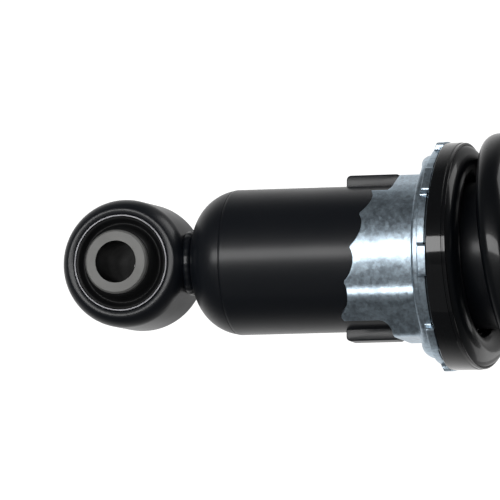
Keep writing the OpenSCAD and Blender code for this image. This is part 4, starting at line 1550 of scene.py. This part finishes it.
@dataclass
class UpperMount:
    """Upper seat, stud plate, studs, rubber and the nut on the rod."""

    seat_r: float = 55.0
    seat_z: float = 442.8
    seat_corner: float = 4.0
    sheet: float = 3.0
    hub_r: float = 39.0
    plate_z: float = 463.3
    plate_top: float = 467.3
    stud_circle: float = 55.0
    stud_r: float = 5.0
    stud_l: float = 30.0
    stud_pitch: float = 1.25
    stud_ridge: float = 0.62
    head_r: float = 8.0
    head_t: float = 3.0
    knurl_r: float = 5.4
    crown_r: float = 29.7
    spool_r: float = 12.5
    spool_low: float = 437.3
    spool_top: float = 471.3
    washer_r: float = 23.0
    washer_top: float = 474.3
    washer_droop: float = 1.2
    nut_top: float = 484.3
    rod_top: float = 493.3
    rod_pitch: float = 1.5
    rod_ridge: float = 0.55
    stem_r: float = 6.0
    coil_in_r: float = 37.7

    @property
    def hub_in(self) -> float:
        """Inner radius of the hub."""
        return self.hub_r - self.sheet

    def isolator(self) -> bpy.types.Object:
        """The rubber ring between the upper end coil and the seat.

        Returns:
            The piece.
        """
        collar, top, hub = self.coil_in_r - 0.8, self.seat_z, self.hub_in
        inner, out, low = collar - 2.2, self.seat_r - self.sheet - 0.3, top - 3.4
        profile = [(inner, top - 14), (collar - 0.3, top - 14), (collar, low - 2), (collar, low), (out, low),
                   (out, top - 1.3), (out - 1.3, top), (hub, top), (hub, low - 1), (inner, low - 2)]
        edges = {0: 0.5, 1: 0.6, 3: 0.3, 4: 0.6, 8: 0.4, 9: 0.5}
        return piece("upper_isolator_moulded", turned(eased(profile, edges)), 50)

    def seat(self) -> bpy.types.Object:
        """The pressed seat: a turned-down rim, a flat and a raised hub.

        Returns:
            The piece.
        """
        c, low = self.seat_corner, self.seat_z - 7
        top, x, z = self.seat_z + self.sheet, self.seat_r - c, self.seat_z + self.sheet - c
        profile = [(self.seat_r - self.sheet, low), (self.seat_r, low), *arc(x, z, c, 0, 90, 12),
                   (self.hub_r, top), (self.hub_r, self.plate_z), (self.hub_in, self.plate_z),
                   (self.hub_in, self.seat_z), *arc(x, z, c - self.sheet, 90, 0, 8)]
        return piece("upper_spring_seat_pressed", turned(eased(profile, {0: 0.5, 1: 0.5, 15: 1.2})), 40)

    def studs(self) -> bpy.types.Object:
        """Three studs with round heads and a chamfered lead; their threads are a piece of their own.

        Returns:
            The piece.
        """
        low, base, top = self.plate_z - self.head_t, self.plate_top, self.plate_top + self.stud_l
        core = self.stud_r - 0.55
        profile = [(0.0, low), (self.head_r - 0.4, low), (self.head_r, low + 0.4),
                   (self.head_r, self.plate_z), (self.knurl_r, self.plate_z), (self.knurl_r, base),
                   (self.stud_r, base), (self.stud_r, base + 2.4), (core, base + 3), (core, top - 0.9),
                   (core - 0.9, top), (0.0, top)]
        points, faces = turned(profile, segments=64)
        places = self.stud_places()
        return piece("mount_studs_headed", joined(
            [([(px + x, py + y, pz) for px, py, pz in points], faces) for x, y in places]), 30)

    def stud_places(self) -> list[Point]:
        """Where the studs stand."""
        return arc(0, 0, self.stud_circle, 90, 330, 2)

    def threads(self, thread: Recipe) -> tuple[bpy.types.Object, bpy.types.Object]:
        """The studs' and the rod's threads.

        Args:
            thread: The recipe that puts a thread at each point.

        Returns:
            The studs' threads and the rod's.
        """
        base, nut = self.plate_top + 3.2, self.nut_top + 0.1
        kinds = {
            "mount_studs_threads": (
                [(x, y, base) for x, y in self.stud_places()], self.stud_r - self.stud_ridge,
                self.plate_top + self.stud_l - 1.4 - base, self.stud_pitch, self.stud_ridge),
            "rod_thread": (
                [(0, 0, nut)] * 2, self.stem_r - self.rod_ridge,
                self.rod_top - 0.9 - self.nut_top, self.rod_pitch, self.rod_ridge),
        }
        studs, rod = (
            thread.bake(path_object(points, [1.0] * len(points), False), name, STUD.material(),
                        Radius=r * MM, Length=length * MM, Turns=length / pitch, Ridge=ridge * MM)
            for name, (points, r, length, pitch, ridge) in kinds.items())
        return studs, rod

    def rubber(self) -> bpy.types.Object:
        """The bonded rubber, with a crown through the plate.

        Returns:
            The piece.
        """
        bore, hub, crown = self.spool_r, self.hub_in, self.crown_r
        low, top = self.seat_z + self.sheet, self.plate_top + 2.5
        profile = [(bore, low + 2), (bore + 6, low), (hub, low), (hub, self.plate_z), (crown, self.plate_z),
                   (crown, self.plate_top), (crown - 3, top), (bore, top)]
        return piece("mount_rubber_bonded", turned(eased(profile, {1: 2.0, 5: 0.8, 6: 1.6})), 50)

    def spool(self) -> bpy.types.Object:
        """The centre sleeve.

        Returns:
            The piece.
        """
        inner, low, top = self.stem_r + 0.1, self.spool_low, self.spool_top
        profile = [(inner, low), (self.spool_r, low), (self.spool_r, top), (inner, top)]
        return piece("mount_spool_turned", turned(eased(profile, {1: 0.5, 2: 0.4, 3: 0.4})), 30)

    def washer(self) -> bpy.types.Object:
        """The top washer, dished down at its rim.

        Returns:
            The piece.
        """
        hole, r, droop = self.stem_r + 0.1, self.washer_r, self.washer_droop
        low, top = self.spool_top, self.washer_top
        profile = [(hole, low), (self.spool_r + 1, low), (r - 1, low - droop), (r, low - droop / 2),
                   (r - 1, top - droop), (self.spool_r + 2, top), (hole, top)]
        edges = {1: 2.0, 2: 0.4, 3: 0.4, 4: 0.5, 5: 2.5, 6: 0.3}
        return piece("top_washer_dished", turned(eased(profile, edges)), 30)

    def build(self, thread: Recipe) -> None:
        """Builds and dresses the upper mount.

        Args:
            thread: The recipe that puts a thread at each point.
        """
        dress(self.isolator(), PAD, Body.MOUNT, "upper_isolator")
        dress(self.seat(), BLACK, Body.MOUNT, "upper_spring_seat")
        dress(broken(from_cad("stud_plate", "stud_plate_blanked"), 0.5, 3), BLACK, Body.MOUNT, "stud_plate")
        dress(self.studs(), STUD, Body.MOUNT, "mount_studs")
        for made in self.threads(thread):
            dress(made, STUD, Body.MOUNT)
        dress(self.rubber(), BUSH, Body.MOUNT, "mount_rubber")
        dress(self.spool(), BARE, Body.MOUNT, "mount_spool")
        dress(self.washer(), YELLOW, Body.MOUNT, "top_washer")
        dress(broken(from_cad("rod_nut", "rod_nut_hex"), 0.25, 2, 24), YELLOW, Body.MOUNT, "rod_nut")


# ------------------------------------------------------------------------------ studio


@dataclass(frozen=True)
class Lamp:
    """A soft rectangular lamp that faces the strut's axis; distances in metres.

    Args:
        azimuth: Direction from the strut, from -Y towards +X, in degrees.
        height: Height of its middle.
        distance: Distance from the strut's axis.
        size: Width round the strut, and height.
        power: Power in watts.
        aim: Height on the strut that it faces.
    """

    azimuth: float
    height: float
    distance: float
    size: Point
    power: float
    aim: float = 0.05

    def hang(self, name: str) -> None:
        """Puts the lamp into the scene.

        Args:
            name: The lamp's name.
        """
        data = bpy.data.lights.new(name, "AREA")
        data.shape = "RECTANGLE"
        data.size, data.size_y = self.size
        data.energy = self.power
        made = linked(name, data)
        a = radians(self.azimuth)
        made.location = (self.distance * sin(a), -self.distance * cos(a), self.height)
        made.visible_camera = False
        back = (made.location - Vector((0, 0, self.aim))).normalized()
        made.rotation_euler = back.to_track_quat("Z", "Y").to_euler()


LAMPS = {
    "key": Lamp(-9, -0.2, 1.0, (0.27, 1.5), 7.6),
    "top": Lamp(-100, 1.4, 1.5, (1.2, 1.2), 11.0),
    "back": Lamp(160, 1.2, 1.8, (1.4, 1.4), 4.0),
    "fill": Lamp(36, -0.1, 1.2, (1.1, 1.6), 0.5),
}


@dataclass
class Studio:
    """Camera, lamps, world and floor; distances in metres."""

    eye: Place = (0.18165, -2.5, 0.75852)
    target: Place = (-0.00436, 0.0, 0.04241)
    roll: float = -0.523
    lens: float = 534.51
    floor_z: float = -0.11
    floor_half: float = 14.0
    paper: float = 0.62
    glow: float = 0.72
    even_light: float = 0.4
    dim_room: float = 0.065

    def camera(self) -> None:
        """A long lens from the side, turned so that the strut lies across the picture."""
        data = bpy.data.cameras.new("camera")
        data.lens, data.sensor_width = self.lens, 36.0
        data.clip_start, data.clip_end = 0.05, 60.0
        made = linked("camera", data)
        eye, target = Vector(self.eye), Vector(self.target)
        ahead = (target - eye).normalized()
        right = ahead.cross(Vector((-1, 0, 0))).normalized()
        up = right.cross(ahead)
        c, s = cos(radians(self.roll)), sin(radians(self.roll))
        right, up = c * right + s * up, c * up - s * right
        turn = Matrix((right, up, -ahead)).transposed().to_4x4()
        made.matrix_world = Matrix.Translation(eye) @ turn
        bpy.context.scene.camera = made

    def world(self) -> None:
        """White to the camera; a dim room with a pale far side to reflections; even light else."""
        world = bpy.data.worlds.new("studio")
        bpy.context.scene.world = world
        world.use_nodes = True
        nodes = Nodes(world.node_tree)
        nodes.tree.nodes.clear()
        rays = nodes.add("LightPath").outputs
        _, y, z = nodes.add("SeparateXYZ", {0: nodes.add("TexCoord").outputs["Generated"]}).outputs
        far = nodes.spread(y, 0.0, 1.0, 0.0, 0.8, interpolation_type="SMOOTHSTEP")
        low = nodes.spread(z, -0.3, 0.1, 1.0, 0.35, interpolation_type="SMOOTHSTEP")
        room = nodes.maths("MULTIPLY_ADD", far, low, self.dim_room)
        gloss = nodes.maths("MAXIMUM", rays["Is Glossy Ray"], rays["Is Transmission Ray"])
        level = nodes.add("Mix", {0: gloss, 2: self.even_light, 3: room}).outputs[0]
        seen = nodes.add("Mix", {0: rays["Is Camera Ray"], 2: level, 3: 1.0}).outputs[0]
        sky = nodes.add("Background", {"Color": (1, 1, 1, 1), "Strength": seen})
        nodes.add("OutputWorld", {0: sky.outputs[0]})

    def floor(self) -> None:
        """A pale floor that shows a soft shadow and stays out of the paint's reflections."""
        h, z = self.floor_half / MM, self.floor_z / MM
        mesh = raw_mesh("floor", [(-h, -h, z), (h, -h, z), (h, h, z), (-h, h, z)], [], [(0, 1, 2, 3)])
        made = linked("floor", mesh)
        material = bpy.data.materials.new("floor_paper")
        material.use_nodes = True
        nodes = Nodes(material.node_tree)
        nodes.tree.nodes.clear()
        seen = nodes.add("LightPath").outputs["Is Camera Ray"]
        paper = nodes.add("BsdfDiffuse", {0: (self.paper, self.paper, self.paper, 1)})
        glow = nodes.add("Emission", {"Strength": nodes.maths("MULTIPLY", seen, self.glow)})
        both = nodes.add("AddShader", {0: paper.outputs[0], 1: glow.outputs[0]})
        nodes.add("OutputMaterial", {0: both.outputs[0]})
        mesh.materials.append(material)
        made.visible_glossy = False
        made.visible_shadow = False

    def build(self) -> None:
        """Sets up the studio."""
        self.camera()
        for name, lamp in LAMPS.items():
            lamp.hang(name)
        self.world()
        self.floor()
        bpy.context.scene.view_settings.view_transform = "Standard"


def main() -> None:
    """Builds the strut's looks and the studio."""
    wire, thread = wire_recipe(), thread_recipe()
    LowerEye().build(wire)
    Tube().build()
    Perch().build()
    Spring().build(wire)
    Damper().build()
    Boot().build()
    UpperMount().build(thread)
    Studio().build()


if __name__ == "__main__":
    main()
